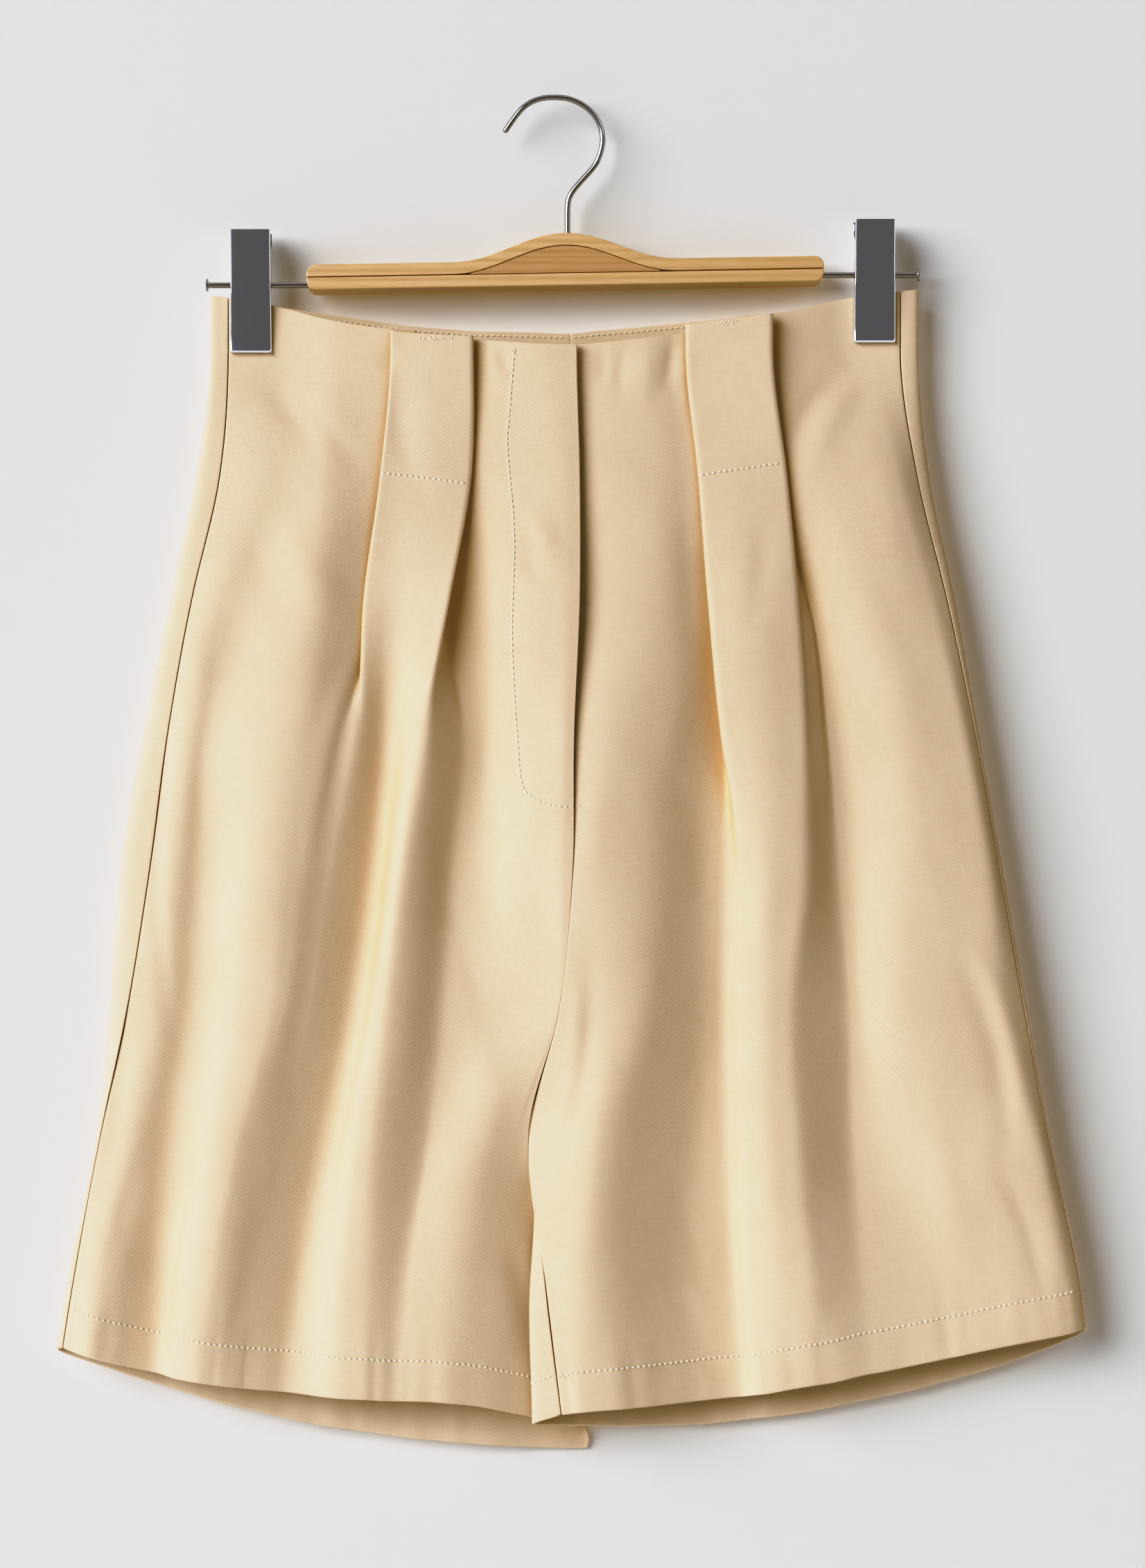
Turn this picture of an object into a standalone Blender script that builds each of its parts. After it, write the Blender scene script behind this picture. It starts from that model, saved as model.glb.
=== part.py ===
"""Bermuda shorts on a clip hanger: the garment's sewn pieces in their hung shape, and the hanger's own parts.

+X is toward the wearer's left, -Y toward the front and +Z up. The origin is the inside top of the hook,
where the hanger hangs. Sizes are millimetres, and become metres where a mesh is made. "Lift" is the
distance of a layer in front of the plane of the hook.
"""

import math

import bpy
import numpy as np

MM = 0.001

CLOTH = 1.2  # thickness of a wall of cloth
HEM_DEPTH = 20.0  # the turned up hem
HEM_TURN = 1.2  # what the turned up layer adds on the inside
HEM_STEP = 0.6
LAYER = 1.8  # spacing of the layers in a pressed pleat
OPEN_TURN = 3.2  # width of a pleat's fold where it has relaxed
LINING = 1.5  # spacing of a wall and the layer sewn behind it
ZIP_TAPE = 1.0
POCKET_BAG = 1.8  # two layers of thin pocketing
POCKET_INSET = 1.9

# Heights at which the fold lines are given: below the clips, end of the stitched pleats, pocket, rise,
# end of the fly, above the crotch, crotch, thigh, hem.
STATIONS = (-122, -186, -244, -311, -379, -447, -507, -582, -639)

# Rows of a wall: shares of the way from the waist to the yoke, and from there to the turned up hem.
YOKE = -186
UPPER_ROWS = (0, 0.34, 0.65, 1)
LOWER_ROWS = (0.09, 0.18, 0.28, 0.38, 0.48, 0.57, 0.66, 0.74, 0.82, 0.91, 1)

# Each fold line from the side seam to the fly: where it lies across at every station, its lift there,
# and the heights of the waist edge and the hem on it. "edge" lines are the pleat's outer folds and
# "under" lines its inner folds, hidden below the panel.
FRONT_RIGHT = {
    "seam": (
        (-161, -165, -178, -190, -199, -210, -223, -237, -246),
        (2, 7, 9, 10, 10.5, 10, 8, 6, 5.5),
        (-97, -612),
    ),
    "ridge": (
        (-149, -149, -168, -180, -187, -194, -208, -223, -229),
        (2, 11, 13.5, 15, 15.5, 14.5, 13.5, 13.5, 12),
        (-99, -616.5),
    ),
    "valley": (
        (-134, -132, -149, -169, -171, -175, -183, -192, -197),
        (2, 12, 13.5, 13, 10.5, 8.5, 4.5, 3.5, 5),
        (-102, -624.5),
    ),
    "swell": (
        (-122, -122, -132, -142, -150, -156, -168, -182, -186),
        (4, 13.5, 18.5, 24, 24.5, 24, 21.5, 16, 16.5),
        (-105.5, -626),
    ),
    "thigh": (
        (-110, -112, -117, -126, -136, -140, -156, -170, -175),
        (7, 15.5, 21.5, 26, 26.5, 26, 24, 20, 19),
        (-109, -627.5),
    ),
    "dive": (
        (-83, -84, -91, -110, -123, -132, -148, -160, -166),
        (9, 11.5, 10.8, 22, 23.5, 24.5, 22, 18, 17.5),
        (-113, -629),
    ),
    "under_out": (
        (-69, -71, -78, -103, -115, -125, -138, -152, -158),
        (9.9, 13.5, 9.8, 19, 20, 21.5, 18, 15, 16),
        (-114, -630),
    ),
    "edge_out": (
        (-81, -86, -94, -97, -108, -118, -131, -145, -152),
        (11.7, 15.7, 14.4, 17.4, 17.5, 19.5, 16, 13, 15),
        (-114, -631),
    ),
    "dip": (
        (-75, -79, -79, -81, -87, -97, -109, -122, -128),
        (12.2, 16, 12.9, 9.5, 9, 10.5, 7, 4.5, 9),
        (-115, -633.5),
    ),
    "panel": (
        (-61, -64, -67, -72, -81, -89, -99, -108, -112),
        (13.6, 17, 18, 20.5, 20.5, 22, 20, 18, 17.5),
        (-116, -635),
    ),
    "edge_in": (
        (-41, -42, -52, -64.5, -75, -82, -89, -94, -95),
        (13.6, 15.9, 21, 25, 25, 24.5, 22, 19.5, 19),
        (-117, -635.5),
    ),
    "brow": (
        (-49, -50, -55, -60, -65, -72, -80, -87, -89),
        (11.6, 14.7, 15, 23.5, 21.5, 22, 19.5, 18.5, 18.5),
        (-117.5, -636),
    ),
    "under_in": (
        (-56, -58, -58, -47, -52, -57, -65, -76, -80),
        (9.6, 13.5, 10, 13, 11.8, 13.5, 12.8, 15.5, 17),
        (-118, -636.5),
    ),
    "climb": (
        (-40, -40, -39, -34, -34, -39, -58, -69, -71),
        (8.6, 12.6, 9.5, 10, 11.2, 12.5, 12.5, 16.5, 17.5),
        (-118, -636.5),
    ),
    "centre": (
        (-20, -20, -17, -16, -18, -20, -38, -50, -52),
        (13, 17, 19.5, 19.5, 20, 16, 17.5, 19.5, 18.5),
        (-120, -637),
    ),
    "brink": (
        (-3, -2, 0, -2, -4, -4, -22, -22, -22),
        (15, 19.5, 22, 25, 26.5, 22.5, 13, 11.5, 11),
        (-121, -642),
    ),
    "inner": (
        (9.7, 11.2, 11.2, 8.4, 7.6, 0.6, -14, 0, 9),
        (15, 19.5, 22, 25, 26.5, 23, 11.5, -3, -7),
        (-121, -653),
    ),
}

# The same from the fly to the other side seam.
FRONT_LEFT = {
    "inner": (
        (8, 8, 10, 8.9, 8.3, 1.4, -12.3, -4, 3),
        (10, 14, 14.5, 21.5, 26, 23.5, 11.5, 17, 18),
        (-121, -643),
    ),
    "crest": (
        (31, 30, 30, 25, 21, 27, 17, 12, 14),
        (12, 16.5, 18, 25, 29, 29, 27.5, 24.5, 22),
        (-119, -641),
    ),
    "fall": (
        (49, 51, 51, 47, 45, 41, 29, 27, 32),
        (11.5, 16, 18, 22, 26, 27.5, 25.5, 20.5, 19),
        (-117, -640),
    ),
    "dive": (
        (61, 67, 69, 73, 71, 70, 68, 64, 67),
        (9, 13, 10.5, 11.5, 13.8, 14.3, 9.3, 8, 11),
        (-115, -637.5),
    ),
    "under_in": (
        (79, 84, 82, 84, 83, 82, 83, 86, 90),
        (9.9, 13.9, 10, 10, 12.5, 12, 7.5, 5.5, 9),
        (-113, -635.5),
    ),
    "edge_in": (
        (63, 69, 73.5, 80, 91, 90, 91, 94, 99),
        (11.7, 15.7, 15.5, 18.5, 19, 18.5, 15, 12, 14),
        (-111, -633.5),
    ),
    "panel": (
        (83, 91, 93, 99, 101, 100, 101, 107, 112),
        (13.4, 16.8, 19.5, 23, 24, 24, 21.5, 19, 18.5),
        (-109, -631),
    ),
    "edge_out": (
        (105, 112, 117.5, 121.5, 121, 115, 118, 125, 131),
        (14, 15.9, 15.5, 19, 22, 23, 21, 20, 19),
        (-106, -628),
    ),
    "under_out": (
        (90, 97, 121.5, 130.5, 135, 140, 142, 149, 157),
        (9.6, 13.5, 9, 10.5, 10.5, 11.2, 9.3, 13.5, 16.5),
        (-107, -623),
    ),
    "climb": (
        (106, 114, 130, 139, 145, 149, 157, 178, 183),
        (7.2, 12.6, 10.5, 9, 9.5, 10.5, 9, 11.5, 14),
        (-106, -618),
    ),
    "hip": (
        (128, 134, 150, 170, 167, 164, 181, 201, 208),
        (4.6, 13.6, 15.6, 16, 16.5, 17.5, 15, 13.5, 15),
        (-101, -613),
    ),
    "flat": (
        (141, 158, 170, 185, 184, 184, 205, 224, 232),
        (2, 12.2, 14.6, 15.5, 17, 18.5, 17, 16, 16),
        (-97, -608),
    ),
    "lip": (
        (157, 169, 184, 200, 212.5, 219, 235, 249, 255),
        (2, 10, 11.5, 12.6, 13.8, 16, 15.5, 14, 12.5),
        (-96, -604),
    ),
    "seam": (
        (168, 176, 190, 204, 216, 228, 239, 255, 261),
        (2, 7, 8, 8.5, 9.5, 11, 11, 10, 8),
        (-94, -602),
    ),
}

# The backs, without their side seams, which lie beside the fronts'. They roll round the side, lie flat
# against the wall and, below the crotch, curl forward to the inside leg.
BACK_RIGHT = {
    "roll_front": (
        (-170, -177, -189, -202, -214, -219, -225, -240, -249),
        (2, 5.5, 6.5, 7, 7, 6, 4.5, 3.2, 3),
        (-96, -612),
    ),
    "roll_back": (
        (-170, -178, -190, -204, -215, -220, -226, -241, -250),
        (-1.1, -2, -2.5, -3, -3, -3, -3, -3, -3),
        (-96, -614),
    ),
    "flank": (
        (-156, -160, -172, -184, -194, -201, -206, -220, -226),
        (-1.1, -6.5, -7, -7, -7, -7, -7, -7, -7),
        (-98, -622),
    ),
    "grip": (
        (-130, -134, -143, -152, -160, -169, -175, -189, -194),
        (-1.1, -7, -9, -9.5, -9.5, -9, -8.5, -8, -8),
        (-103, -632),
    ),
    "quarter": (
        (-97, -97, -100, -104, -111, -119, -128, -139, -143),
        (-4.8, -7.5, -8, -8, -7.5, -7, -7, -6, -6),
        (-107, -647),
    ),
    "hollow": (
        (-56, -56, -56, -58, -63, -70, -80, -90, -94),
        (-6.5, -8.5, -10, -10.5, -10.5, -10, -10, -9.5, -9.5),
        (-113, -655),
    ),
    "seat": (
        (-22, -21, -20, -20, -21, -25, -46, -46, -47),
        (-6.5, -8.5, -9, -9, -9, -9, -8.5, -8, -8),
        (-113, -661),
    ),
    "curl_back": (
        (-2, -2, -2, -2, -2, -6, -27, 1, 10),
        (-6.5, -8.5, -9, -9, -9, -9, -6, -12, -14.5),
        (-114, -664),
    ),
    "curl_front": (
        (2, 2, 2, 2, 2, -1, -18, 4.5, 13.5),
        (-6.5, -8.5, -9, -9, -9, -9, 0, -9, -12),
        (-114, -663),
    ),
    "inner": (
        (6.5, 6.5, 6.5, 6.5, 6.5, 4, -14.5, 2, 11),
        (-6.5, -8.5, -9, -9, -9, -9, 8.4, -6, -10),
        (-114, -653),
    ),
}
BACK_LEFT = {
    "inner": (
        (7.5, 7.5, 7.5, 7.5, 7.5, 5, -11, -5.5, 1.5),
        (-6.5, -8.5, -9, -9, -9, -9, 7.6, 14.8, 17),
        (-114, -643),
    ),
    "curl_front": (
        (11, 11, 11, 11, 11, 10, -6.5, -13, -13),
        (-6.5, -8.5, -9, -9, -9, -9, 3, 12.5, 13.5),
        (-114, -648),
    ),
    "curl_back": (
        (15, 15, 15, 15, 15, 14, 1, -13.5, -12),
        (-6.5, -8.5, -9, -9, -9, -9, 0, 9, 8),
        (-113, -649),
    ),
    "under": (
        (29, 29, 30, 31, 31, 31, 20, 15, 16),
        (-6.5, -8.5, -9, -9, -9, -9, -6, -1.5, -2),
        (-112, -651),
    ),
    "seat": (
        (50, 50, 52, 53, 54, 55, 53, 48, 50),
        (-6.5, -8.5, -9, -9.5, -9.5, -9.5, -9, -8, -8),
        (-110, -652),
    ),
    "hollow": (
        (80, 82, 86, 87, 89, 91, 91, 93, 94),
        (-6.5, -8.5, -10, -10.5, -10.5, -10.5, -10.5, -10, -10),
        (-107, -650),
    ),
    "quarter": (
        (111, 116, 121, 125, 128, 132, 133, 140, 144),
        (-4.8, -7.5, -8, -8, -8, -7.5, -7, -6.5, -6.5),
        (-104, -641),
    ),
    "grip": (
        (137, 144, 152, 159, 169, 176, 181, 191, 197),
        (-1.1, -7, -8.5, -9, -9, -8.5, -8.5, -8, -8),
        (-100, -629),
    ),
    "flank": (
        (162, 166, 176, 184, 196, 207, 213, 227, 232),
        (-1.1, -6.5, -7, -7, -7, -7, -7, -7, -7),
        (-96, -618),
    ),
    "roll_back": (
        (177, 183, 195, 206, 219, 230, 240, 256, 264),
        (-1.1, -2, -2.5, -3, -3.5, -3.5, -3.5, -3.5, -3.5),
        (-93, -605),
    ),
    "roll_front": (
        (177, 183, 195, 207, 219, 231, 242, 257, 264),
        (2, 5, 6, 6, 6, 6.5, 6, 5, 4),
        (-93, -602),
    ),
}
SEAM_GAP = 1.2  # between the middles of two walls that meet edge to edge at a side seam

# How far each pleat has opened at every station: 0 is pressed flat and 1 a soft wave.
OPEN_RIGHT = (0, 0, 0, 0.9, 1, 1, 1, 1, 1)
OPEN_LEFT = (0, 0, 0.3, 0.6, 1, 1, 1, 1, 1)
PLEAT_TURNS = ("under_out", "edge_out", "edge_in", "under_in")
TURN_STEPS = 2  # facets of each half of a pleat's fold
SOFT_STEPS = 1  # facets of any other fold line

# Hanger
WIRE = 1.4  # radius of the hook's wire
HOOK_ROUTE = (
    (-26, -16),
    (-19.5, -6),
    (-13.5, -1),
    (-7, 1.2),
    (0, 1.4),
    (6, 0.8),
    (13, -2.3),
    (19, -8),
    (22, -14.5),
    (22.5, -21),
    (20.5, -28.5),
    (18, -33),
    (10.5, -41),
    (6.5, -46),
    (5, -51),
    (5, -60),
    (5, -83),
)
BAR_HALF = 126.5
BAR_MIDDLE = 4.0
BAR_DEPTH = 16.0
STRIP = 6.1  # height of each of the bar's two wooden strips
HUMP_HALF = 54.0
HUMP_RISE = 13.6
GLUE = 0.3
BAR_BASE = -92.5  # underside of the bar at its middle
BAR_SLOPE = 0.0175
BAR_TILT = math.radians(5)
BAR_END_ROUND = 4.5
ROD = 1.45
ROD_LIFT = 1.0
ROD_SEAT = 11.0  # how far a rod is let into the bar
FIT = 0.35
HEAD = 3.2
HEAD_THICK = 1.3
# each clip: its middle across, the rod's height and the rod's outer end
CLIPS = {"right": (-150, -91, -171), "left": (155.5, -86, 176.5)}
# height from the rod, lift of the plate, depth of the side flanges, half width
FRONT_JAW = (
    (26.5, 9.5, 1.6, 9.8),
    (22, 9.0, 1.6, 9.8),
    (11, 7.8, 3.0, 9.8),
    (5, 7.2, 9.0, 9.8),
    (-3.4, 6.5, 8.4, 9.9),
    (-4.4, 6.4, 2.6, 10.0),
    (-14, 5.3, 1.6, 10.1),
    (-27, 4.2, 0.5, 10.2),
    (-33.4, 4.0, 0.5, 10.2),
)
BACK_JAW = (
    (26.5, -7.5, 1.6, 9.8),
    (22, -7.0, 1.6, 9.8),
    (11, -5.8, 2.6, 8.3),
    (5, -5.2, 8.4, 8.3),
    (-3.4, -4.5, 8.0, 8.3),
    (-4.4, -4.4, 0.8, 8.3),
    (-14, -3.8, 0.6, 10.0),
    (-27, -3.1, 0.5, 10.2),
    (-33.4, -3.1, 0.5, 10.2),
)
PLATE = 0.9
SPRING_RADIUS = 3.1

COLOURS = {
    "twill": ((0.70, 0.60, 0.45), 0.9, 0.0),
    "tape": ((0.80, 0.73, 0.60), 0.9, 0.0),
    "pine": ((0.72, 0.48, 0.22), 0.4, 0.0),
    "walnut": ((0.40, 0.22, 0.10), 0.4, 0.0),
    "chrome": ((0.80, 0.80, 0.80), 0.15, 1.0),
}


def clear_scene():
    for old in list(bpy.data.objects):
        bpy.data.objects.remove(old, do_unlink=True)


def material(name):
    found = bpy.data.materials.get(name)
    if found:
        return found
    colour, roughness, metallic = COLOURS[name]
    made = bpy.data.materials.new(name)
    made.use_nodes = True
    shader = made.node_tree.nodes["Principled BSDF"]
    shader.inputs["Base Color"].default_value = (*colour, 1)
    shader.inputs["Roughness"].default_value = roughness
    shader.inputs["Metallic"].default_value = metallic
    return made


def solid(name, points, faces, look):
    """An object from points (across, lift, height) in millimetres, with its faces turned outward."""
    mesh = bpy.data.meshes.new(name)
    mesh.from_pydata([(x * MM, -lift * MM, z * MM) for x, lift, z in points], [], faces)
    corners = np.array([[mesh.vertices[i].co[:] for i in face[:3]] for face in faces])
    quads = [face for face in faces if len(face) == 4]
    other = np.array([[mesh.vertices[face[i]].co[:] for i in (0, 2, 3)] for face in quads])
    volume = np.linalg.det(corners).sum() + (np.linalg.det(other).sum() if len(other) else 0)
    if volume < 0:
        mesh.flip_normals()
    mesh.materials.append(material(look))
    mesh.shade_smooth()
    mesh.set_sharp_from_angle(angle=math.radians(40))
    made = bpy.data.objects.new(name, mesh)
    bpy.context.scene.collection.objects.link(made)
    return made


def glide(height, values):
    """A value between the stations: a cubic through each, level above the first, straight below the last."""
    ends = np.array(STATIONS, float)
    values = np.array(values, float)
    slopes = np.gradient(values, ends)
    slopes[0] = 0
    height = min(height, ends[0])
    if height <= ends[-1]:
        return values[-1] + slopes[-1] * (height - ends[-1])
    k = int(np.searchsorted(-ends, -height, side="right")) - 1
    span = ends[k + 1] - ends[k]
    t = (height - ends[k]) / span
    start = (1 + 2 * t) * (1 - t) ** 2 * values[k] + t * (1 - t) ** 2 * span * slopes[k]
    end = t * t * (3 - 2 * t) * values[k + 1] + t * t * (t - 1) * span * slopes[k + 1]
    return start + end


def beside(row, gap):
    """A side seam's row moved across, for the wall that meets it there."""
    across, lift, ends = row
    return tuple(x + gap for x in across), lift, ends


def control_points(folds, opening, upper, lower, drop):
    """The section's corners on one row, given by its share of the upper and of the lower part and a drop.

    Each is its place (across, lift, height) and the number of facets that round it.
    """
    middles = []
    for across, lift, (waist, hem) in folds.values():
        height = waist + (YOKE - waist) * upper + (hem + HEM_DEPTH - YOKE) * lower - drop
        middles.append(np.array([glide(height, across), glide(height, lift), height]))
    points = []
    for i, (name, middle) in enumerate(zip(folds, middles)):
        if name not in PLEAT_TURNS:
            points.append((middle, SOFT_STEPS))
            continue
        opened = float(np.interp(-middle[2], [-z for z in STATIONS], opening))
        angle = (1 - opened) * math.pi / 2
        reach = (LAYER + (OPEN_TURN - LAYER) * opened) / 2
        half = onward(middles[i - 1], middles[i + 1]) * reach * math.cos(angle)
        half[1] += rising(folds, name) * reach * math.sin(angle)
        points += [(middle - half, TURN_STEPS), (middle + half, TURN_STEPS)]
    return points


def onward(before, after):
    """Unit direction across and in lift from one fold line to another, never turned back toward the side."""
    way = np.array([max(after[0] - before[0], 0.001), after[1] - before[1], 0])
    return way / np.linalg.norm(way)


def rising(folds, name):
    """1 where the section climbs on to the pleat's panel, -1 where it comes off it."""
    names = list(folds)
    return 1 if names.index(name) < names.index("panel") else -1


def rounded(corners):
    """The section with its corners rounded: (point, unit normal to its left) along it."""
    points = [point for point, _ in corners]
    legs = [b[:2] - a[:2] for a, b in zip(points, points[1:])]
    lengths = [float(np.hypot(*leg)) for leg in legs]
    ways = [leg / length for leg, length in zip(legs, lengths)]
    line = [(points[0], np.array([-ways[0][1], ways[0][0]]))]
    for i in range(1, len(points) - 1):
        before, after = ways[i - 1], ways[i]
        cut = 0.49 * min(lengths[i - 1], lengths[i])
        turn = math.atan2(before[0] * after[1] - before[1] * after[0], float(before @ after))
        start = points[i] - np.append(before * cut, (points[i][2] - points[i - 1][2]) * cut / lengths[i - 1])
        end = points[i] + np.append(after * cut, (points[i + 1][2] - points[i][2]) * cut / lengths[i])
        normal = np.array([-before[1], before[0]])
        steps = corners[i][1]
        for step in range(steps + 1):
            share = step / steps
            angle = turn * share
            facing = np.array(
                [
                    normal[0] * math.cos(angle) - normal[1] * math.sin(angle),
                    normal[0] * math.sin(angle) + normal[1] * math.cos(angle),
                ]
            )
            if abs(turn) < 0.001:
                place = start + (end - start) * share
            else:
                radius = cut / math.tan(turn / 2)
                place = start + (end - start) * share
                place[:2] = start[:2] + radius * normal - radius * facing
            line.append((place, facing))
    line.append((points[-1], np.array([-ways[-1][1], ways[-1][0]])))
    return line


def wall_grid(folds, opening, outward):
    """Rows of (point, outward normal, extra thickness inside) over a whole panel, waist to hem."""
    rows = [(upper, 0, 0, 0) for upper in UPPER_ROWS]
    rows += [(1, lower, 0, 0) for lower in LOWER_ROWS]
    rows += [(1, 1, drop, HEM_TURN) for drop in (HEM_STEP, HEM_DEPTH)]
    grid = []
    for upper, lower, drop, extra in rows:
        line = rounded(control_points(folds, opening, upper, lower, drop))
        row = [(point, normal * outward, extra) for point, normal in line]
        for end in (0, -1):
            row[end] = (row[end][0], row[end][1], 0)
        grid.append(row)
    return grid


def shell(name, grid, look, inset=0.0, thickness=CLOTH):
    """A closed wall along a grid, its middle set inside the grid's surface by `inset`."""
    outer, inner = [], []
    for row in grid:
        for point, normal, extra in row:
            out = np.append(normal, 0)
            middle = point - out * inset
            outer.append(middle + out * thickness / 2)
            inner.append(middle - out * (thickness / 2 + extra))
    rows, columns = len(grid), len(grid[0])
    count = rows * columns
    faces = []
    for r in range(rows - 1):
        for c in range(columns - 1):
            a, b = r * columns + c, r * columns + c + 1
            faces.append((a, b, b + columns, a + columns))
            faces.append((count + a, count + a + columns, count + b + columns, count + b))
    rim = [c for c in range(columns)]
    rim += [r * columns + columns - 1 for r in range(1, rows)]
    rim += [(rows - 1) * columns + c for c in range(columns - 2, -1, -1)]
    rim += [r * columns for r in range(rows - 2, 0, -1)]
    for a, b in zip(rim, rim[1:] + rim[:1]):
        faces.append((b, a, count + a, count + b))
    return solid(name, outer + inner, faces, look)


def block(grid, rows, columns):
    """Part of a grid, without the hem's extra thickness."""
    kept = [row[columns[0] : columns[1] + 1] for row in grid[rows[0] : rows[1] + 1]]
    return [[(point, normal, 0) for point, normal, _ in row] for row in kept]


def column_of(folds, name):
    """The first grid column of a fold line's own arc."""
    names = list(folds)
    before = names[1 : names.index(name)]
    pleat_folds = sum(fold in PLEAT_TURNS for fold in before)
    return 1 + pleat_folds * 2 * (TURN_STEPS + 1) + (len(before) - pleat_folds) * (SOFT_STEPS + 1)


def build_garment():
    right = wall_grid(FRONT_RIGHT, OPEN_RIGHT, 1)
    left = wall_grid(FRONT_LEFT, OPEN_LEFT, 1)
    shell("front_right", right, "twill")
    shell("front_left", left, "twill")
    back_right = {"seam": beside(FRONT_RIGHT["seam"], -SEAM_GAP), **BACK_RIGHT}
    back_left = {**BACK_LEFT, "seam": beside(FRONT_LEFT["seam"], SEAM_GAP)}
    seat_right = wall_grid(back_right, OPEN_RIGHT, -1)
    seat_left = wall_grid(back_left, OPEN_LEFT, -1)
    shell("back_right", seat_right, "twill")
    shell("back_left", seat_left, "twill")
    build_facings(back_right, back_left, seat_right, seat_left)
    build_fly(right)
    build_pockets(right, left)


def build_facings(back_right, back_left, seat_right, seat_left):
    """The deep band inside the back waist, which shows above the front edge."""
    first = column_of(back_right, "flank")
    shell("facing_right", block(seat_right, (0, 1), (first, len(seat_right[0]) - 1)), "twill", LINING)
    last = column_of(back_left, "flank") + SOFT_STEPS
    shell("facing_left", block(seat_left, (0, 1), (0, last)), "twill", LINING)


def build_fly(right):
    """Facing, closed zip and shield, one behind the other under the front's overlapping edge."""
    edge = len(right[0]) - 1
    centre = column_of(FRONT_RIGHT, "centre")
    brink = column_of(FRONT_RIGHT, "brink")
    shell("fly_facing", block(right, (0, 7), (centre + 1, edge)), "twill", LINING)
    shell("zip_tape", block(right, (1, 6), (centre + 1, brink + SOFT_STEPS)), "tape", 2 * LINING, ZIP_TAPE)
    shell("fly_shield", block(right, (0, 6), (centre + 1, brink + SOFT_STEPS)), "twill", 3 * LINING)


def build_pockets(right, left):
    """The pocket bags, pressed flat behind the fronts from the side seams."""
    first = column_of(FRONT_RIGHT, "ridge") + 1
    last = column_of(FRONT_RIGHT, "thigh")
    shell("pocket_right", block(right, (4, 9), (first, last)), "twill", POCKET_INSET, POCKET_BAG)
    first = column_of(FRONT_LEFT, "hip") + 1
    last = column_of(FRONT_LEFT, "lip") + 1
    shell("pocket_left", block(left, (4, 9), (first, last)), "twill", POCKET_INSET, POCKET_BAG)


def bar_height(along):
    """Height of the bar's underside, which climbs slowly to the wearer's left."""
    return BAR_BASE + BAR_SLOPE * (along - BAR_MIDDLE)


def hump(along):
    reach = min(abs(along - BAR_MIDDLE) / HUMP_HALF, 1)
    return HUMP_RISE * math.cos(reach * math.pi / 2) ** 2


def end_round(along):
    """How much the bar's end takes off the outer side of a strip."""
    left = BAR_HALF - abs(along - BAR_MIDDLE)
    if left >= BAR_END_ROUND:
        return 0
    return BAR_END_ROUND - math.sqrt(BAR_END_ROUND**2 - (BAR_END_ROUND - left) ** 2)


def slab(name, stations, bottom, top, look, depth=BAR_DEPTH, soften=0.8):
    """A strip of wood seen from the front, given by its lower and upper edge, leaning back with the bar."""
    points = []
    for x in stations:
        low, high = bottom(x), top(x)
        for lift, z in ((-depth / 2, low), (depth / 2, low), (depth / 2, high), (-depth / 2, high)):
            above = z - BAR_BASE - STRIP / 2
            back = lift * math.cos(BAR_TILT) - above * math.sin(BAR_TILT)
            up = above * math.cos(BAR_TILT) + lift * math.sin(BAR_TILT)
            points.append((x, ROD_LIFT + back, BAR_BASE + STRIP / 2 + up))
    faces = []
    for i in range(len(stations) - 1):
        for k in range(4):
            a, b = 4 * i + k, 4 * i + (k + 1) % 4
            faces.append((a, b, b + 4, a + 4))
    last = 4 * (len(stations) - 1)
    faces += [(3, 2, 1, 0), (last, last + 1, last + 2, last + 3)]
    made = solid(name, points, faces, look)
    if soften:
        bevel = made.modifiers.new("soft_edges", "BEVEL")
        bevel.width = soften * MM
        bevel.segments = 2
        bevel.limit_method = "ANGLE"
        bevel.angle_limit = math.radians(50)
    return made


def cylinder(name, start, end, radius, look, sides=16):
    """A round bar along X, from one end to the other."""
    points = []
    for x in (start[0], end[0]):
        for k in range(sides):
            angle = 2 * math.pi * k / sides
            points.append((x, start[1] + radius * math.cos(angle), start[2] + radius * math.sin(angle)))
    faces = [(k, (k + 1) % sides, sides + (k + 1) % sides, sides + k) for k in range(sides)]
    mesh_points = points + [(start[0], start[1], start[2]), (end[0], end[1], end[2])]
    faces += [((k + 1) % sides, k, 2 * sides) for k in range(sides)]
    faces += [(sides + k, sides + (k + 1) % sides, 2 * sides + 1) for k in range(sides)]
    return solid(name, mesh_points, faces, look)


def as_cutter(made):
    made.hide_render = True
    made.display_type = "WIRE"
    return made


def bore(target, cutter):
    cut = target.modifiers.new("bore_" + cutter.name, "BOOLEAN")
    cut.operation = "DIFFERENCE"
    cut.object = cutter


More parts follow.
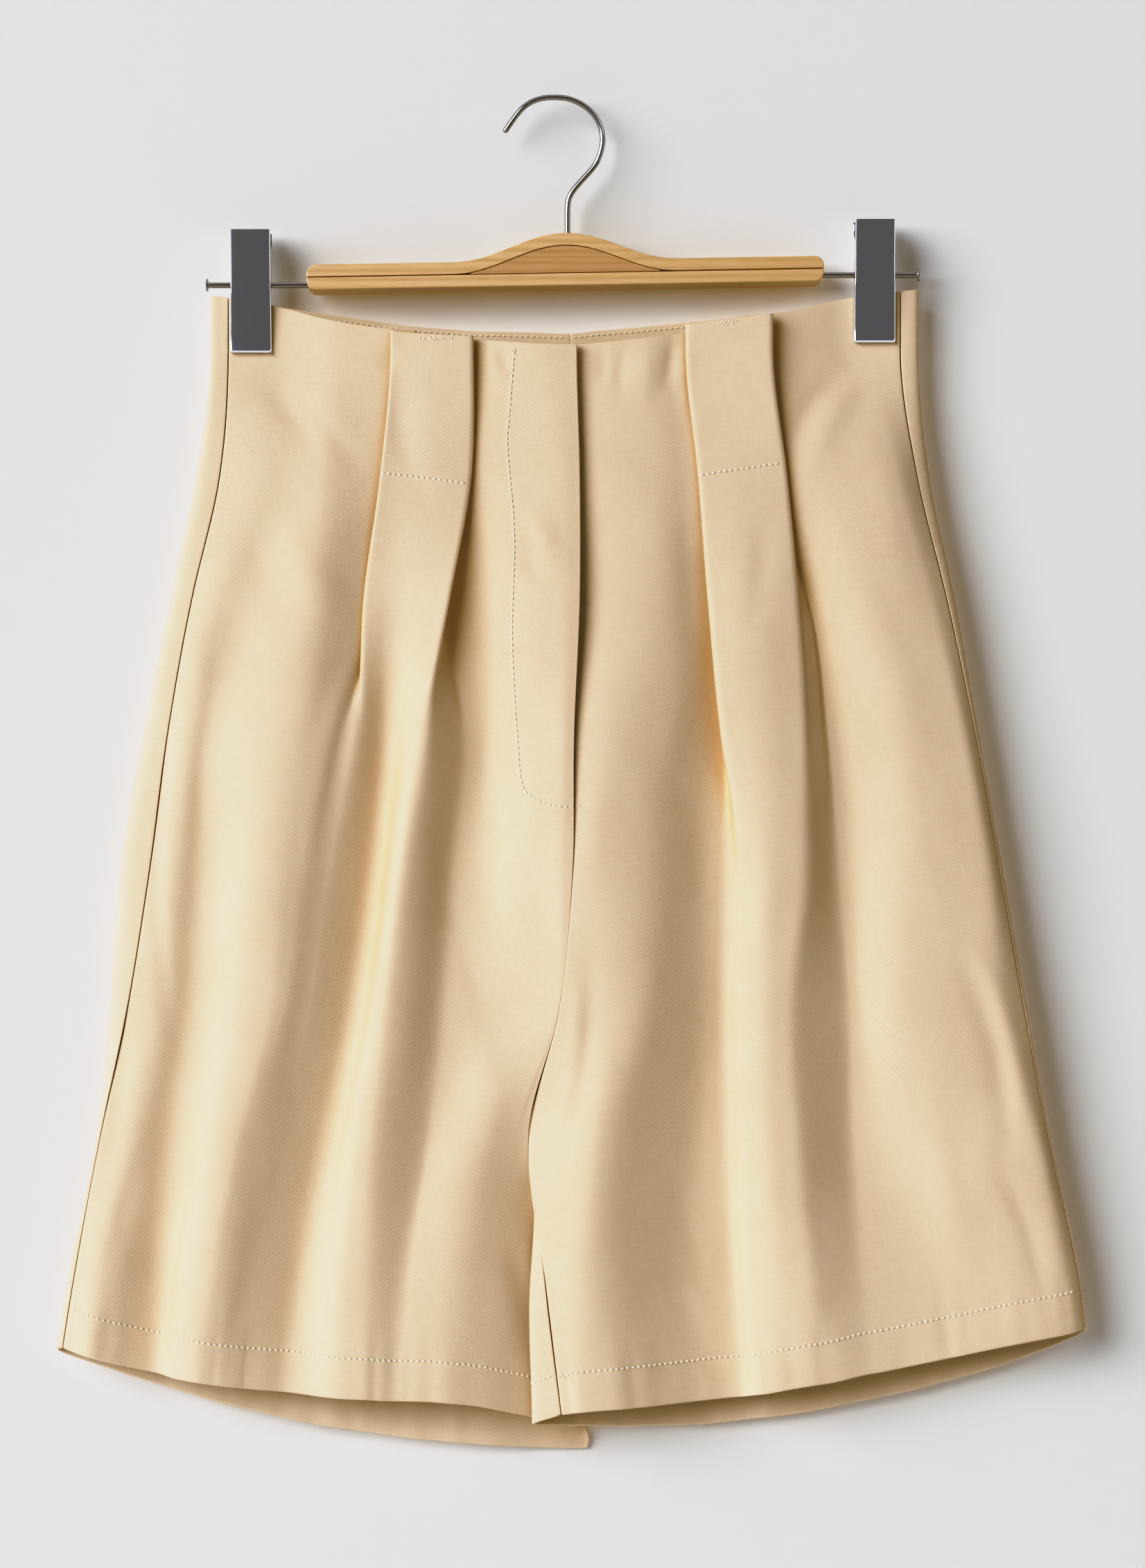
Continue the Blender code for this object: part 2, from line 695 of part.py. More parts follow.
def build_bar():
    """Two glued strips with a darker wedge between them, which lifts the upper one into a hump."""
    low, high = BAR_MIDDLE - BAR_HALF, BAR_MIDDLE + BAR_HALF
    ends = [low + d for d in (0, 0.6, 1.6, 3, BAR_END_ROUND)]
    hump_stations = list(np.linspace(BAR_MIDDLE - HUMP_HALF, BAR_MIDDLE + HUMP_HALF, 19))
    stations = ends + hump_stations + [2 * BAR_MIDDLE - x for x in reversed(ends)]

    def base(x):
        return bar_height(x) + end_round(x)

    def seam(x):
        return bar_height(x) + STRIP

    def upper_base(x):
        return seam(x) + GLUE + hump(x)

    def upper_top(x):
        return upper_base(x) + STRIP - end_round(x)

    lower = slab("bar_lower", stations, base, seam, "pine")
    upper = slab("bar_upper", stations, upper_base, upper_top, "pine")
    wedge_half = 0.86 * HUMP_HALF
    wedge_stations = list(np.linspace(BAR_MIDDLE - wedge_half, BAR_MIDDLE + wedge_half, 15))
    wedge = slab(
        "bar_wedge",
        wedge_stations,
        lambda x: seam(x) + GLUE,
        lambda x: upper_base(x) - GLUE,
        "walnut",
        BAR_DEPTH - 0.6,
        0,
    )
    return lower, upper, wedge


def build_hook(upper, wedge):
    curve = bpy.data.curves.new("hook", "CURVE")
    curve.dimensions = "3D"
    spline = curve.splines.new("NURBS")
    spline.points.add(len(HOOK_ROUTE) - 1)
    for point, (x, z) in zip(spline.points, HOOK_ROUTE):
        point.co = (x * MM, 0, z * MM, 1)
    spline.order_u = 3
    spline.use_endpoint_u = True
    curve.resolution_u = 3
    curve.bevel_depth = WIRE * MM
    curve.bevel_resolution = 2
    curve.use_fill_caps = True
    hook = bpy.data.objects.new("hook", curve)
    curve.materials.append(material("chrome"))
    bpy.context.scene.collection.objects.link(hook)
    x, foot = HOOK_ROUTE[-1]
    hole = cylinder("hook_hole", (foot - 2, 0, 0), (foot + 40, 0, 0), WIRE + FIT, "chrome")
    hole.rotation_euler = (0, -math.pi / 2, 0)
    hole.location = (x * MM, 0, 0)
    as_cutter(hole)
    bore(upper, hole)
    bore(wedge, hole)


def turned_rod(side, lower):
    """A rod with its nail head at the outer end, let into the bar at the other."""
    middle, height, outer = CLIPS[side]
    way = 1 if outer > 0 else -1
    bar_end = BAR_MIDDLE + way * BAR_HALF
    profile = (
        (outer + way * HEAD_THICK, 0),
        (outer + way * HEAD_THICK, HEAD - 0.5),
        (outer + way * HEAD_THICK * 0.6, HEAD),
        (outer, HEAD),
        (outer, ROD),
        (bar_end - way * ROD_SEAT, ROD),
        (bar_end - way * ROD_SEAT, 0),
    )
    sides = 16
    points = [(profile[0][0], ROD_LIFT, height)]
    for x, radius in profile[1:-1]:
        for k in range(sides):
            angle = 2 * math.pi * k / sides
            points.append((x, ROD_LIFT + radius * math.cos(angle), height + radius * math.sin(angle)))
    points.append((profile[-1][0], ROD_LIFT, height))
    faces = [(0, 1 + (k + 1) % sides, 1 + k) for k in range(sides)]
    rings = len(profile) - 2
    for ring in range(rings - 1):
        first = 1 + ring * sides
        for k in range(sides):
            after = (k + 1) % sides
            faces.append((first + k, first + after, first + sides + after, first + sides + k))
    last = 1 + (rings - 1) * sides
    faces += [(len(points) - 1, last + k, last + (k + 1) % sides) for k in range(sides)]
    solid("rod_" + side, points, faces, "chrome")
    mouth = (bar_end + way * 2, ROD_LIFT, height)
    foot = (bar_end - way * (ROD_SEAT + FIT), ROD_LIFT, height)
    bore(lower, as_cutter(cylinder("rod_hole_" + side, mouth, foot, ROD + FIT, "chrome")))


def jaw(name, table, side, toward):
    """A pressed plate with side flanges, bored for the rod. `toward` is the way its flanges point."""
    middle, rod_height, _ = CLIPS[side]
    points = []
    for rise, lift, flange, half in table:
        near = lift - toward * PLATE / 2
        far = lift + toward * PLATE / 2
        tip = far + toward * flange
        section = (
            (-half, near),
            (half, near),
            (half, tip),
            (half - PLATE, tip),
            (half - PLATE, far),
            (-half + PLATE, far),
            (-half + PLATE, tip),
            (-half, tip),
        )
        points += [(middle + x, y, rod_height + rise) for x, y in section]
    faces = []
    for i in range(len(table) - 1):
        for k in range(8):
            a, b = 8 * i + k, 8 * i + (k + 1) % 8
            faces.append((a, b, b + 8, a + 8))
    for start, flip in ((0, True), (8 * (len(table) - 1), False)):
        for cap in ((0, 1, 4, 5), (1, 2, 3, 4), (0, 5, 6, 7)):
            corners = [start + k for k in cap]
            faces.append(tuple(corners[::-1] if flip else corners))
    made = solid(name, points, faces, "chrome")
    ends = ((middle - 14, ROD_LIFT, rod_height), (middle + 14, ROD_LIFT, rod_height))
    bore(made, as_cutter(cylinder("hole_" + name, ends[0], ends[1], ROD + FIT, "chrome")))


def build_clip(side):
    jaw("clip_front_" + side, FRONT_JAW, side, -1)
    jaw("clip_back_" + side, BACK_JAW, side, 1)
    middle, height, _ = CLIPS[side]
    ends = ((middle - 5.5, ROD_LIFT, height), (middle + 5.5, ROD_LIFT, height))
    spring = cylinder("spring_" + side, *ends, SPRING_RADIUS, "chrome")
    ends = ((middle - 8, ROD_LIFT, height), (middle + 8, ROD_LIFT, height))
    bore(spring, as_cutter(cylinder("hole_spring_" + side, ends[0], ends[1], ROD + FIT, "chrome")))


def build_hanger():
    lower, upper, wedge = build_bar()
    build_hook(upper, wedge)
    for side in CLIPS:
        turned_rod(side, lower)
        build_clip(side)


clear_scene()
build_garment()
build_hanger()
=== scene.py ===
"""Looks of the bermuda shorts on a clip hanger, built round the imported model.

Shapes are worked out in millimetres as (across, lift, height): +across is toward the wearer's left, lift is
the distance in front of the hook's plane and height is above the inside top of the hook. A mesh gets
metres, with +X across, -Y forward and +Z up.
"""

import math
import random

import bpy
import numpy as np
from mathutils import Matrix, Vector
from mathutils.bvhtree import BVHTree


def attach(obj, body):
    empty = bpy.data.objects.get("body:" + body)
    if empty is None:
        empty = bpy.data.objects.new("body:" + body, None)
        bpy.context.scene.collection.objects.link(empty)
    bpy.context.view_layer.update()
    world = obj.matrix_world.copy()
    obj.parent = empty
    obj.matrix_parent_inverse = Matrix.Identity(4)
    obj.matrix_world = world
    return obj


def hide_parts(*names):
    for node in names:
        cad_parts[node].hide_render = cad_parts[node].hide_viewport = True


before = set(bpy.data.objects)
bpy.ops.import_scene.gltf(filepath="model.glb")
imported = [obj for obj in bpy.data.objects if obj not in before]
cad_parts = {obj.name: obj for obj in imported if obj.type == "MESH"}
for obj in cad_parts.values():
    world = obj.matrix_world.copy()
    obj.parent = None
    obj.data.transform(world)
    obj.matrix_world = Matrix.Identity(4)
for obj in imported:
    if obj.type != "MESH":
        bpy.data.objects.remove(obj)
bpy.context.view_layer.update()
dice = random.Random(7)

MM = 0.001

# ---------------------------------------------------------------- sizes of the cloth

CLOTH = 0.8  # thickness of a wall of cloth
HEM_DEPTH = 20.0
HEM_TURN = 0.8  # what the turned up layer adds on the inside
LAYER = 1.2  # spacing of the layers in a pressed pleat
OPEN_TURN = 3.2  # width of a pleat's fold where it has relaxed
LINING = 1.1  # from a wall to the layer sewn behind it
ZIP_TAPE = 0.8  # thickness
POCKET_BAG = 1.8  # thickness of its two layers
POCKET_INSET = 1.9  # from a wall to the middle of its pocket bag
SEAM_GAP = 0.35  # between a front's side seam and its back's
STATIONS = (-122, -186, -244, -311, -379, -447, -507, -582, -639)
YOKE = -186
# How far the pleats have opened at each station.
OPEN_RIGHT = (0, 0, 0, 0.9, 1, 1, 1, 1, 1)
OPEN_LEFT = (0, 0, 0.3, 0.6, 1, 1, 1, 1, 1)
PLEAT_TURNS = ("under_out", "edge_out", "edge_in", "under_in")

# Each fold line from the side seam to the fly: where it lies across at every station, its lift there,
# and the heights of the waist edge and the hem on it. "edge" lines are the pleat's outer folds and
# "under" lines its inner folds, hidden below the panel.
FRONT_RIGHT = {
    "seam": ((-161, -165, -178, -190, -199, -210, -223, -237, -246),
        (2, 7, 9, 10, 10.5, 10, 8, 6, 5.5), (-97, -612)),
    "ridge": ((-149, -149, -168, -180, -187, -194, -208, -223, -229),
        (2, 11, 13.5, 15, 15.5, 14.5, 13.5, 15.3, 14), (-99, -616.5)),
    "valley": ((-134, -132, -149, -169, -171, -175, -183, -192, -197),
        (2, 12, 13.5, 13, 10.5, 8.5, 4.5, 2.6, 4), (-102, -624.5)),
    "swell": ((-122, -122, -132, -142, -150, -156, -168, -182, -186),
        (4, 13.5, 18.5, 24, 24.5, 24, 21.5, 16, 16.5), (-105.5, -626)),
    "thigh": ((-110, -112, -117, -126, -136, -140, -156, -170, -175),
        (7, 15.5, 21.5, 26, 26.5, 26, 24, 20.6, 19), (-109, -627.5)),
    "dive": ((-83, -84, -91, -110, -123, -132, -148, -160, -166),
        (9, 11.5, 11.8, 22, 23.5, 24.5, 22, 18.6, 17.5), (-113, -629)),
    "under_out": ((-69, -71, -84, -103, -115, -125, -138, -152, -158),
        (9.9, 13.5, 8.8, 18.4, 20, 21.5, 18.2, 15, 15.8), (-114, -630)),
    "edge_out": ((-81, -86, -94, -97, -108, -118, -131, -145, -152),
        (11.7, 15.7, 14.4, 18, 17.5, 19, 15.3, 12.3, 14.3), (-114, -631)),
    "dip": ((-75, -79, -79, -81, -87, -97, -109, -122, -128),
        (12.2, 16, 14.6, 9.2, 7.6, 9.6, 7, 3.6, 9), (-115, -633.5)),
    "panel": ((-61, -64, -67, -72, -81, -89, -99, -108, -112),
        (13.6, 17, 18.4, 20.5, 20.5, 22, 20, 18, 17.5), (-116, -635)),
    "edge_in": ((-41, -42, -52, -64.5, -75, -82, -89, -94, -95),
        (13.6, 15.9, 21, 25, 25, 24.5, 22, 19.5, 19), (-117, -635.5)),
    "brow": ((-49, -50, -55, -60, -65, -72, -80, -87, -89),
        (11.6, 14.7, 15, 23.5, 21.5, 22, 19.5, 18.5, 18.5), (-117.5, -636)),
    "under_in": ((-56, -58, -58, -47, -52, -57, -65, -76, -80),
        (9.6, 13.5, 10, 13, 11.8, 13.5, 12.8, 15.5, 17), (-118, -636.5)),
    "climb": ((-40, -40, -39, -34, -34, -39, -58, -69, -71),
        (8.6, 12.6, 9.5, 10, 11.2, 12.5, 12.5, 16.5, 17.5), (-118, -636.5)),
    "centre": ((-20, -20, -17, -16, -18, -20, -38, -50, -52),
        (13, 17, 19.5, 19.5, 20, 16, 17.5, 19.5, 18.5), (-120, -637)),
    "brink": ((-3, 2.5, 3.5, 2.5, 1.5, -1, -22, -22, -22),
        (15, 19.8, 22.4, 25.4, 26.8, 22.5, 13, 11.5, 11), (-121, -642)),
    "inner": ((9.7, 11.2, 11.2, 8.4, 7.6, 0.6, -14, 0, 9),
        (15, 19.5, 22, 25, 26.5, 23, 11.5, -1.2, -5), (-121, -653)),
}

# The same from the fly to the other side seam.
FRONT_LEFT = {
    "inner": ((8, 8, 10, 8.9, 8.3, 1.4, -12.3, -4, 3),
        (10, 14, 14.5, 21.5, 26, 23.5, 11.5, 17, 18), (-121, -643)),
    "crest": ((31, 30, 30, 25, 21, 27, 17, 12, 14),
        (12, 16.5, 18, 25, 29, 29, 27.5, 24.5, 22), (-119, -641)),
    "fall": ((49, 51, 51, 47, 45, 41, 29, 27, 32),
        (11.5, 16, 18, 22, 26.6, 28.2, 25.5, 22.4, 21), (-117, -640)),
    "dive": ((61, 67, 69, 73, 71, 70, 68, 64, 67),
        (9, 13, 10.5, 10.8, 13.8, 14.3, 8.4, 6.8, 9.6), (-115, -637.5)),
    "under_in": ((79, 84, 82, 84, 83, 82, 83, 86, 90),
        (9.9, 13.9, 10, 10, 12.5, 12, 7.5, 4.6, 7.8), (-113, -635.5)),
    "edge_in": ((63, 69, 73.5, 80, 91, 90, 91, 94, 99),
        (11.7, 15.7, 15.5, 18.5, 19, 18.5, 15, 12, 16), (-111, -633.5)),
    "panel": ((83, 91, 93, 99, 101, 100, 101, 107, 112),
        (13.4, 16.8, 19.5, 23, 24, 24, 21.5, 19, 18.2), (-109, -631)),
    "edge_out": ((105, 112, 117.5, 121.5, 121, 115, 118, 125, 131),
        (14, 15.9, 15.5, 19, 22, 23, 21, 20, 19), (-106, -628)),
    "under_out": ((90, 97, 121.5, 130.5, 135, 140, 142, 149, 157),
        (9.6, 13.5, 9, 10.5, 10.5, 11.2, 9.3, 13.5, 16.5), (-107, -623)),
    "climb": ((106, 114, 130, 139, 145, 149, 157, 178, 183),
        (7.2, 12.6, 10.5, 9, 9.5, 10.5, 9, 11.5, 14), (-106, -618)),
    "hip": ((128, 134, 150, 170, 167, 164, 181, 201, 208),
        (4.6, 14.4, 15.6, 16, 16.5, 17.5, 15, 13.5, 15), (-101, -613)),
    "flat": ((141, 158, 170, 185, 184, 184, 205, 224, 232),
        (2, 14.2, 14.6, 15.5, 17, 18.5, 17, 16, 16), (-97, -608)),
    "lip": ((157, 169, 184, 200, 212.5, 219, 235, 249, 255),
        (2, 11.8, 11.5, 13.4, 14.8, 16.8, 16.3, 14.8, 13.3), (-96, -604)),
    "seam": ((168, 176, 190, 204, 216, 228, 239, 255, 261),
        (2, 7, 8, 8.5, 9.5, 11, 11, 10, 8), (-94, -602)),
}

# The backs, without their side seams, which lie beside the fronts'. They roll round the side, lie flat
# against the wall and, below the crotch, curl forward to the inside leg.
BACK_RIGHT = {
    "roll_front": ((-170, -177, -189, -202, -214, -219, -225, -240, -249),
        (2, 5.5, 6.5, 7, 7, 6, 4.5, 3.2, 3), (-96, -612)),
    "roll_back": ((-170, -178, -190, -204, -215, -220, -226, -241, -250),
        (-1.1, -2, -2.5, -3, -3, -3, -3, -3, -3), (-96, -614)),
    "flank": ((-156, -160, -172, -184, -194, -201, -206, -220, -226),
        (-1.1, -6.5, -7, -7, -7, -7, -7, -7, -7), (-98, -622)),
    "grip": ((-130, -134, -143, -152, -160, -169, -175, -189, -194),
        (-1.1, -7, -9, -9.5, -9.5, -9, -8.5, -8, -8), (-103, -632)),
    "quarter": ((-97, -97, -100, -104, -111, -119, -128, -139, -143),
        (-4.8, -7.5, -8, -8, -7.5, -7, -7, -6, -6), (-107, -647)),
    "hollow": ((-56, -56, -56, -58, -63, -70, -80, -90, -94),
        (-6.5, -8.5, -10, -10.5, -10.5, -10, -10, -9.5, -9.5), (-113, -655)),
    "seat": ((-22, -21, -20, -20, -21, -25, -46, -46, -47),
        (-6.5, -8.5, -9, -9, -9, -9, -8.5, -8, -8), (-113, -661)),
    "curl_back": ((-2, -2, -2, -2, -2, -6, -27, 1, 10),
        (-6.5, -8.5, -9, -9, -9, -9, -6, -12, -14.5), (-114, -664)),
    "curl_front": ((2, 2, 2, 2, 2, -1, -18, 4.5, 13.5),
        (-6.5, -8.5, -9, -9, -9, -9, 0, -9, -12), (-114, -663)),
    "inner": ((6.5, 6.5, 6.5, 6.5, 6.5, 4, -14.5, 2, 11),
        (-6.5, -8.5, -9, -9, -9, -9, 8.4, -6, -10), (-114, -653)),
}
BACK_LEFT = {
    "inner": ((6.8, 6.8, 6.8, 6.8, 6.8, 4.3, -11, -5.5, 1.5),
        (-6.5, -8.5, -9, -9, -9, -9, 8.6, 16.6, 17.7), (-114, -643)),
    "curl_front": ((11, 11, 11, 11, 11, 10, -6.5, -13, -13),
        (-6.5, -8.5, -9, -9, -9, -9, 3, 12.5, 13.5), (-114, -648)),
    "curl_back": ((15, 15, 15, 15, 15, 14, 1, -13.5, -12),
        (-6.5, -8.5, -9, -9, -9, -9, 0, 9, 8), (-113, -649)),
    "under": ((29, 29, 30, 31, 31, 31, 20, 15, 16),
        (-6.5, -8.5, -9, -9, -9, -9, -6, -1.5, -2), (-112, -651)),
    "seat": ((50, 50, 52, 53, 54, 55, 53, 48, 50),
        (-6.5, -8.5, -9, -9.5, -9.5, -9.5, -9, -8, -8), (-110, -652)),
    "hollow": ((80, 82, 86, 87, 89, 91, 91, 93, 94),
        (-6.5, -8.5, -10, -10.5, -10.5, -10.5, -10.5, -10, -10), (-107, -650)),
    "quarter": ((111, 116, 121, 125, 128, 132, 133, 140, 144),
        (-4.8, -7.5, -8, -8, -8, -7.5, -7, -6.5, -6.5), (-104, -641)),
    "grip": ((137, 144, 152, 159, 169, 176, 181, 191, 197),
        (-1.1, -7, -8.5, -9, -9, -8.5, -8.5, -8, -8), (-100, -629)),
    "flank": ((162, 166, 176, 184, 196, 207, 213, 227, 232),
        (-1.1, -6.5, -7, -7, -7, -7, -7, -7, -7), (-96, -618)),
    "roll_back": ((177, 183, 195, 206, 219, 230, 240, 256, 264),
        (-1.1, -2, -2.5, -3, -3.5, -3.5, -3.5, -3.5, -3.5), (-93, -605)),
    "roll_front": ((177, 183, 195, 207, 219, 231, 242, 257, 264),
        (2, 5, 6, 6, 6, 6.5, 6, 5, 4), (-93, -602)),
}

# How far the left front's inner edge is moved toward the right front's, at every station.
SNUG = (0, 0, 0, -0.4, -0.65, -0.8, -1.3, -1.15, -1.15)


# ---------------------------------------------------------------- cloth: from fold lines to walls

COLUMN = 2.4  # widest spacing of a wall's columns
ARC_STEPS = 12  # facets that round a fold before the columns are spaced out
UPPER_COUNT = 34  # rows from the waist to the yoke
LOWER_COUNT = 160  # rows from there to the hem's stitching
HEM_COUNT = 13
RIM_STEPS = 5  # facets of a rounded edge
SOFTENINGS = 4
CORNER_SHARE = 0.49  # of the shorter leg, taken up by a rounded corner
STRAIGHT = 0.001  # radians: a corner flatter than this isn't rounded
PULL_SHARE = 0.8  # the most of a step that a border point is drawn in
ENDS = np.array(STATIONS, float)


def unit(vectors):
    """The vectors at length 1."""
    return vectors / np.linalg.norm(vectors, axis=-1, keepdims=True)


def glide(heights, values):
    """Values between the stations: a cubic through each, level above the first, straight below the last."""
    values = np.array(values, float)
    slopes = np.gradient(values, ENDS)
    slopes[0] = 0
    h = np.minimum(heights, ENDS[0])
    k = np.clip(np.searchsorted(-ENDS, -h, side="right") - 1, 0, len(ENDS) - 2)
    span = ENDS[k + 1] - ENDS[k]
    t = (h - ENDS[k]) / span
    start = (1 + 2 * t) * (1 - t) ** 2 * values[k] + t * (1 - t) ** 2 * span * slopes[k]
    end = t * t * (3 - 2 * t) * values[k + 1] + t * t * (t - 1) * span * slopes[k + 1]
    straight = values[-1] + slopes[-1] * (h - ENDS[-1])
    return np.where(h <= ENDS[-1], straight, start + end)


# For every row: its share of the part above the yoke and of the part below it, and its drop into the hem.
UPPER = np.concatenate([np.linspace(0, 1, UPPER_COUNT), np.ones(LOWER_COUNT + HEM_COUNT)])
LOWER = np.concatenate([np.zeros(UPPER_COUNT), np.linspace(0, 1, LOWER_COUNT + 1)[1:], np.ones(HEM_COUNT)])
DROP = [np.zeros(UPPER_COUNT + LOWER_COUNT), [0.6], np.linspace(1.6, HEM_DEPTH, HEM_COUNT - 1)]
DROP = np.concatenate(DROP)


def row_at(upper, lower):
    """The row nearest to a share of the upper and of the lower part."""
    return int(np.argmin(np.abs(UPPER - upper) + np.abs(LOWER - lower) + DROP))


def corners(folds, opening):
    """Every row's corner points (rows, corners, 3), each fold's first corner, and how pressed a corner is."""
    points, first, pressed, middles = [], {}, [], []
    names = list(folds)
    for across, lift, (waist, hem) in folds.values():
        height = waist + (YOKE - waist) * UPPER + (hem + HEM_DEPTH - YOKE) * LOWER - DROP
        middles.append(np.stack([glide(height, across), glide(height, lift), height], axis=1))
    for i, name in enumerate(names):
        middle = middles[i]
        first[name] = len(points)
        if name not in PLEAT_TURNS:
            points.append(middle)
            pressed.append(np.zeros(len(middle)))
            continue
        opened = np.interp(-middle[:, 2], -ENDS, opening)
        angle = (1 - opened) * math.pi / 2
        reach = (LAYER + (OPEN_TURN - LAYER) * opened) / 2
        rising = 1 if i < names.index("panel") else -1
        way = middles[i + 1] - middles[i - 1]
        way[:, 0] = np.maximum(way[:, 0], 0.001)
        way[:, 2] = 0
        half = unit(way) * (reach * np.cos(angle))[:, None]
        half[:, 1] += rising * reach * np.sin(angle)
        points += [middle - half, middle + half]
        pressed += [1 - opened, 1 - opened]
    return np.stack(points, axis=1), first, np.stack(pressed, axis=1)


def rounded(points):
    """The sections with rounded corners, as (rows, points, 3), and the point at each corner's middle."""
    legs = points[:, 1:, :2] - points[:, :-1, :2]
    lengths = np.hypot(legs[..., 0], legs[..., 1])
    ways = legs / lengths[..., None]
    line, middles = [points[:, 0]], [0]
    for i in range(1, points.shape[1] - 1):
        before, after = ways[:, i - 1], ways[:, i]
        cut = CORNER_SHARE * np.minimum(lengths[:, i - 1], lengths[:, i])
        cross = before[:, 0] * after[:, 1] - before[:, 1] * after[:, 0]
        turn = np.arctan2(cross, (before * after).sum(1))
        flat = np.abs(turn) < STRAIGHT
        rise_in = (points[:, i, 2] - points[:, i - 1, 2]) * cut / lengths[:, i - 1]
        rise_out = (points[:, i + 1, 2] - points[:, i, 2]) * cut / lengths[:, i]
        start = points[:, i] - np.column_stack([before * cut[:, None], rise_in])
        end = points[:, i] + np.column_stack([after * cut[:, None], rise_out])
        x, y = -before[:, 1], before[:, 0]
        radius = cut / np.tan(np.where(flat, 1.0, turn) / 2)
        for share in np.arange(ARC_STEPS + 1) / ARC_STEPS:
            cos, sin = np.cos(turn * share), np.sin(turn * share)
            bend = np.column_stack([x - (x * cos - y * sin), y - (x * sin + y * cos)])
            place = start + (end - start) * share
            place[:, :2] = np.where(flat[:, None], place[:, :2], start[:, :2] + radius[:, None] * bend)
            line.append(place)
        middles.append(len(line) - 1 - ARC_STEPS // 2)
    line.append(points[:, -1])
    return np.stack(line, axis=1), middles + [len(line) - 1]


def spaced(line, middles, pressed):
    """Evenly spaced columns, the columns at the corners' middles, and how pressed each column is."""
    parts, press, marks = [], [], [0]
    for corner, (a, b) in enumerate(zip(middles, middles[1:])):
        piece = line[:, a : b + 1]
        steps = np.hypot(*np.moveaxis(np.diff(piece[..., :2], axis=1), -1, 0))
        along = np.concatenate([np.zeros((len(piece), 1)), np.cumsum(steps, axis=1)], axis=1)
        count = max(2, int(math.ceil(along[:, -1].max() / COLUMN)))
        shares = np.linspace(0, 1, count + 1)[: -1 if b != middles[-1] else None]
        rows = [
            [np.interp(shares * reach[-1], reach, row[:, axis]) for axis in range(3)]
            for reach, row in zip(along, piece)
        ]
        parts.append(np.moveaxis(np.array(rows), 1, 2))
        press.append(pressed[:, corner, None] * (1 - shares) + pressed[:, corner + 1, None] * shares)
        marks.append(marks[-1] + count)
    return np.concatenate(parts, axis=1), marks, np.concatenate(press, axis=1)


def soften(points, pressed):
    """Eases the section's changes of curve, but not a pressed pleat."""
    give = 0.5 * (1 - np.clip(pressed[:, 1:-1] * 3, 0, 1))[..., None]
    for _ in range(SOFTENINGS):
        middle = (points[:, :-2] + points[:, 2:]) / 2
        points[:, 1:-1] += (middle - points[:, 1:-1]) * give
    return points


class Wall:
    """A sewn piece's middle surface: points and normals by row and column, and its corner columns."""

    def __init__(self, folds, opening, outward, relief):
        points, self.first, pressed = corners(folds, opening)
        line, middles = rounded(points)
        grid, self.marks, press = spaced(line, middles, pressed)
        grid = soften(grid, press)
        grid[..., 1] += relief(grid)
        self.points = grid
        self.normals = unit(np.cross(np.gradient(grid, axis=1), np.gradient(grid, axis=0))) * outward
        self.last = grid.shape[1] - 1

    def column(self, name, share=0.0):
        """A fold line's column, or one part of the way to the next corner."""
        k = self.first[name] + (name in PLEAT_TURNS)
        after = self.marks[min(k + 1, len(self.marks) - 1)]
        return int(round(self.marks[k] + (after - self.marks[k]) * share))

    def block(self, rows, columns):
        """The points and normals of some rows and columns, each given by its first and last."""
        part = np.s_[rows[0] : rows[1] + 1, columns[0] : columns[1] + 1]
        return self.points[part], self.normals[part]


def perimeter(rows, columns):
    """The border points of a grid in turn, as (row, column)."""
    rim = [(0, c) for c in range(columns)]
    rim += [(r, columns - 1) for r in range(1, rows)]
    rim += [(rows - 1, c) for c in range(columns - 2, -1, -1)]
    return rim + [(r, 0) for r in range(rows - 2, 0, -1)]


def outward_way(points, r, c):
    """Unit direction out of a grid's edge at one of its border points."""
    rows, columns = points.shape[:2]
    way = np.zeros(3)
    if r in (0, rows - 1):
        way += unit(points[r, c] - points[r + (1 if r == 0 else -1), c])
    if c in (0, columns - 1):
        way += unit(points[r, c] - points[r, c + (1 if c == 0 else -1)])
    return unit(way)


def pulled_in(points, sides, bottom):
    """The grid with its border drawn in, so that its rounded edges end where the border was."""
    grid = points.copy()
    across = np.swapaxes(grid, 0, 1)
    for lines, edge, beside, depth in (
        (grid, 0, 1, sides), (grid, -1, -2, bottom), (across, 0, 1, sides), (across, -1, -2, sides),
    ):
        step = lines[beside] - lines[edge]
        length = np.linalg.norm(step, axis=1, keepdims=True)
        lines[edge] += step / length * np.minimum(depth, PULL_SHARE * length)
    return grid


def run_along(points, axis):
    """The distance from the first row or column of a grid, along each of its lines."""
    steps = np.linalg.norm(np.diff(points, axis=axis), axis=2)
    return np.insert(np.cumsum(steps, axis=axis), 0, 0, axis=axis)


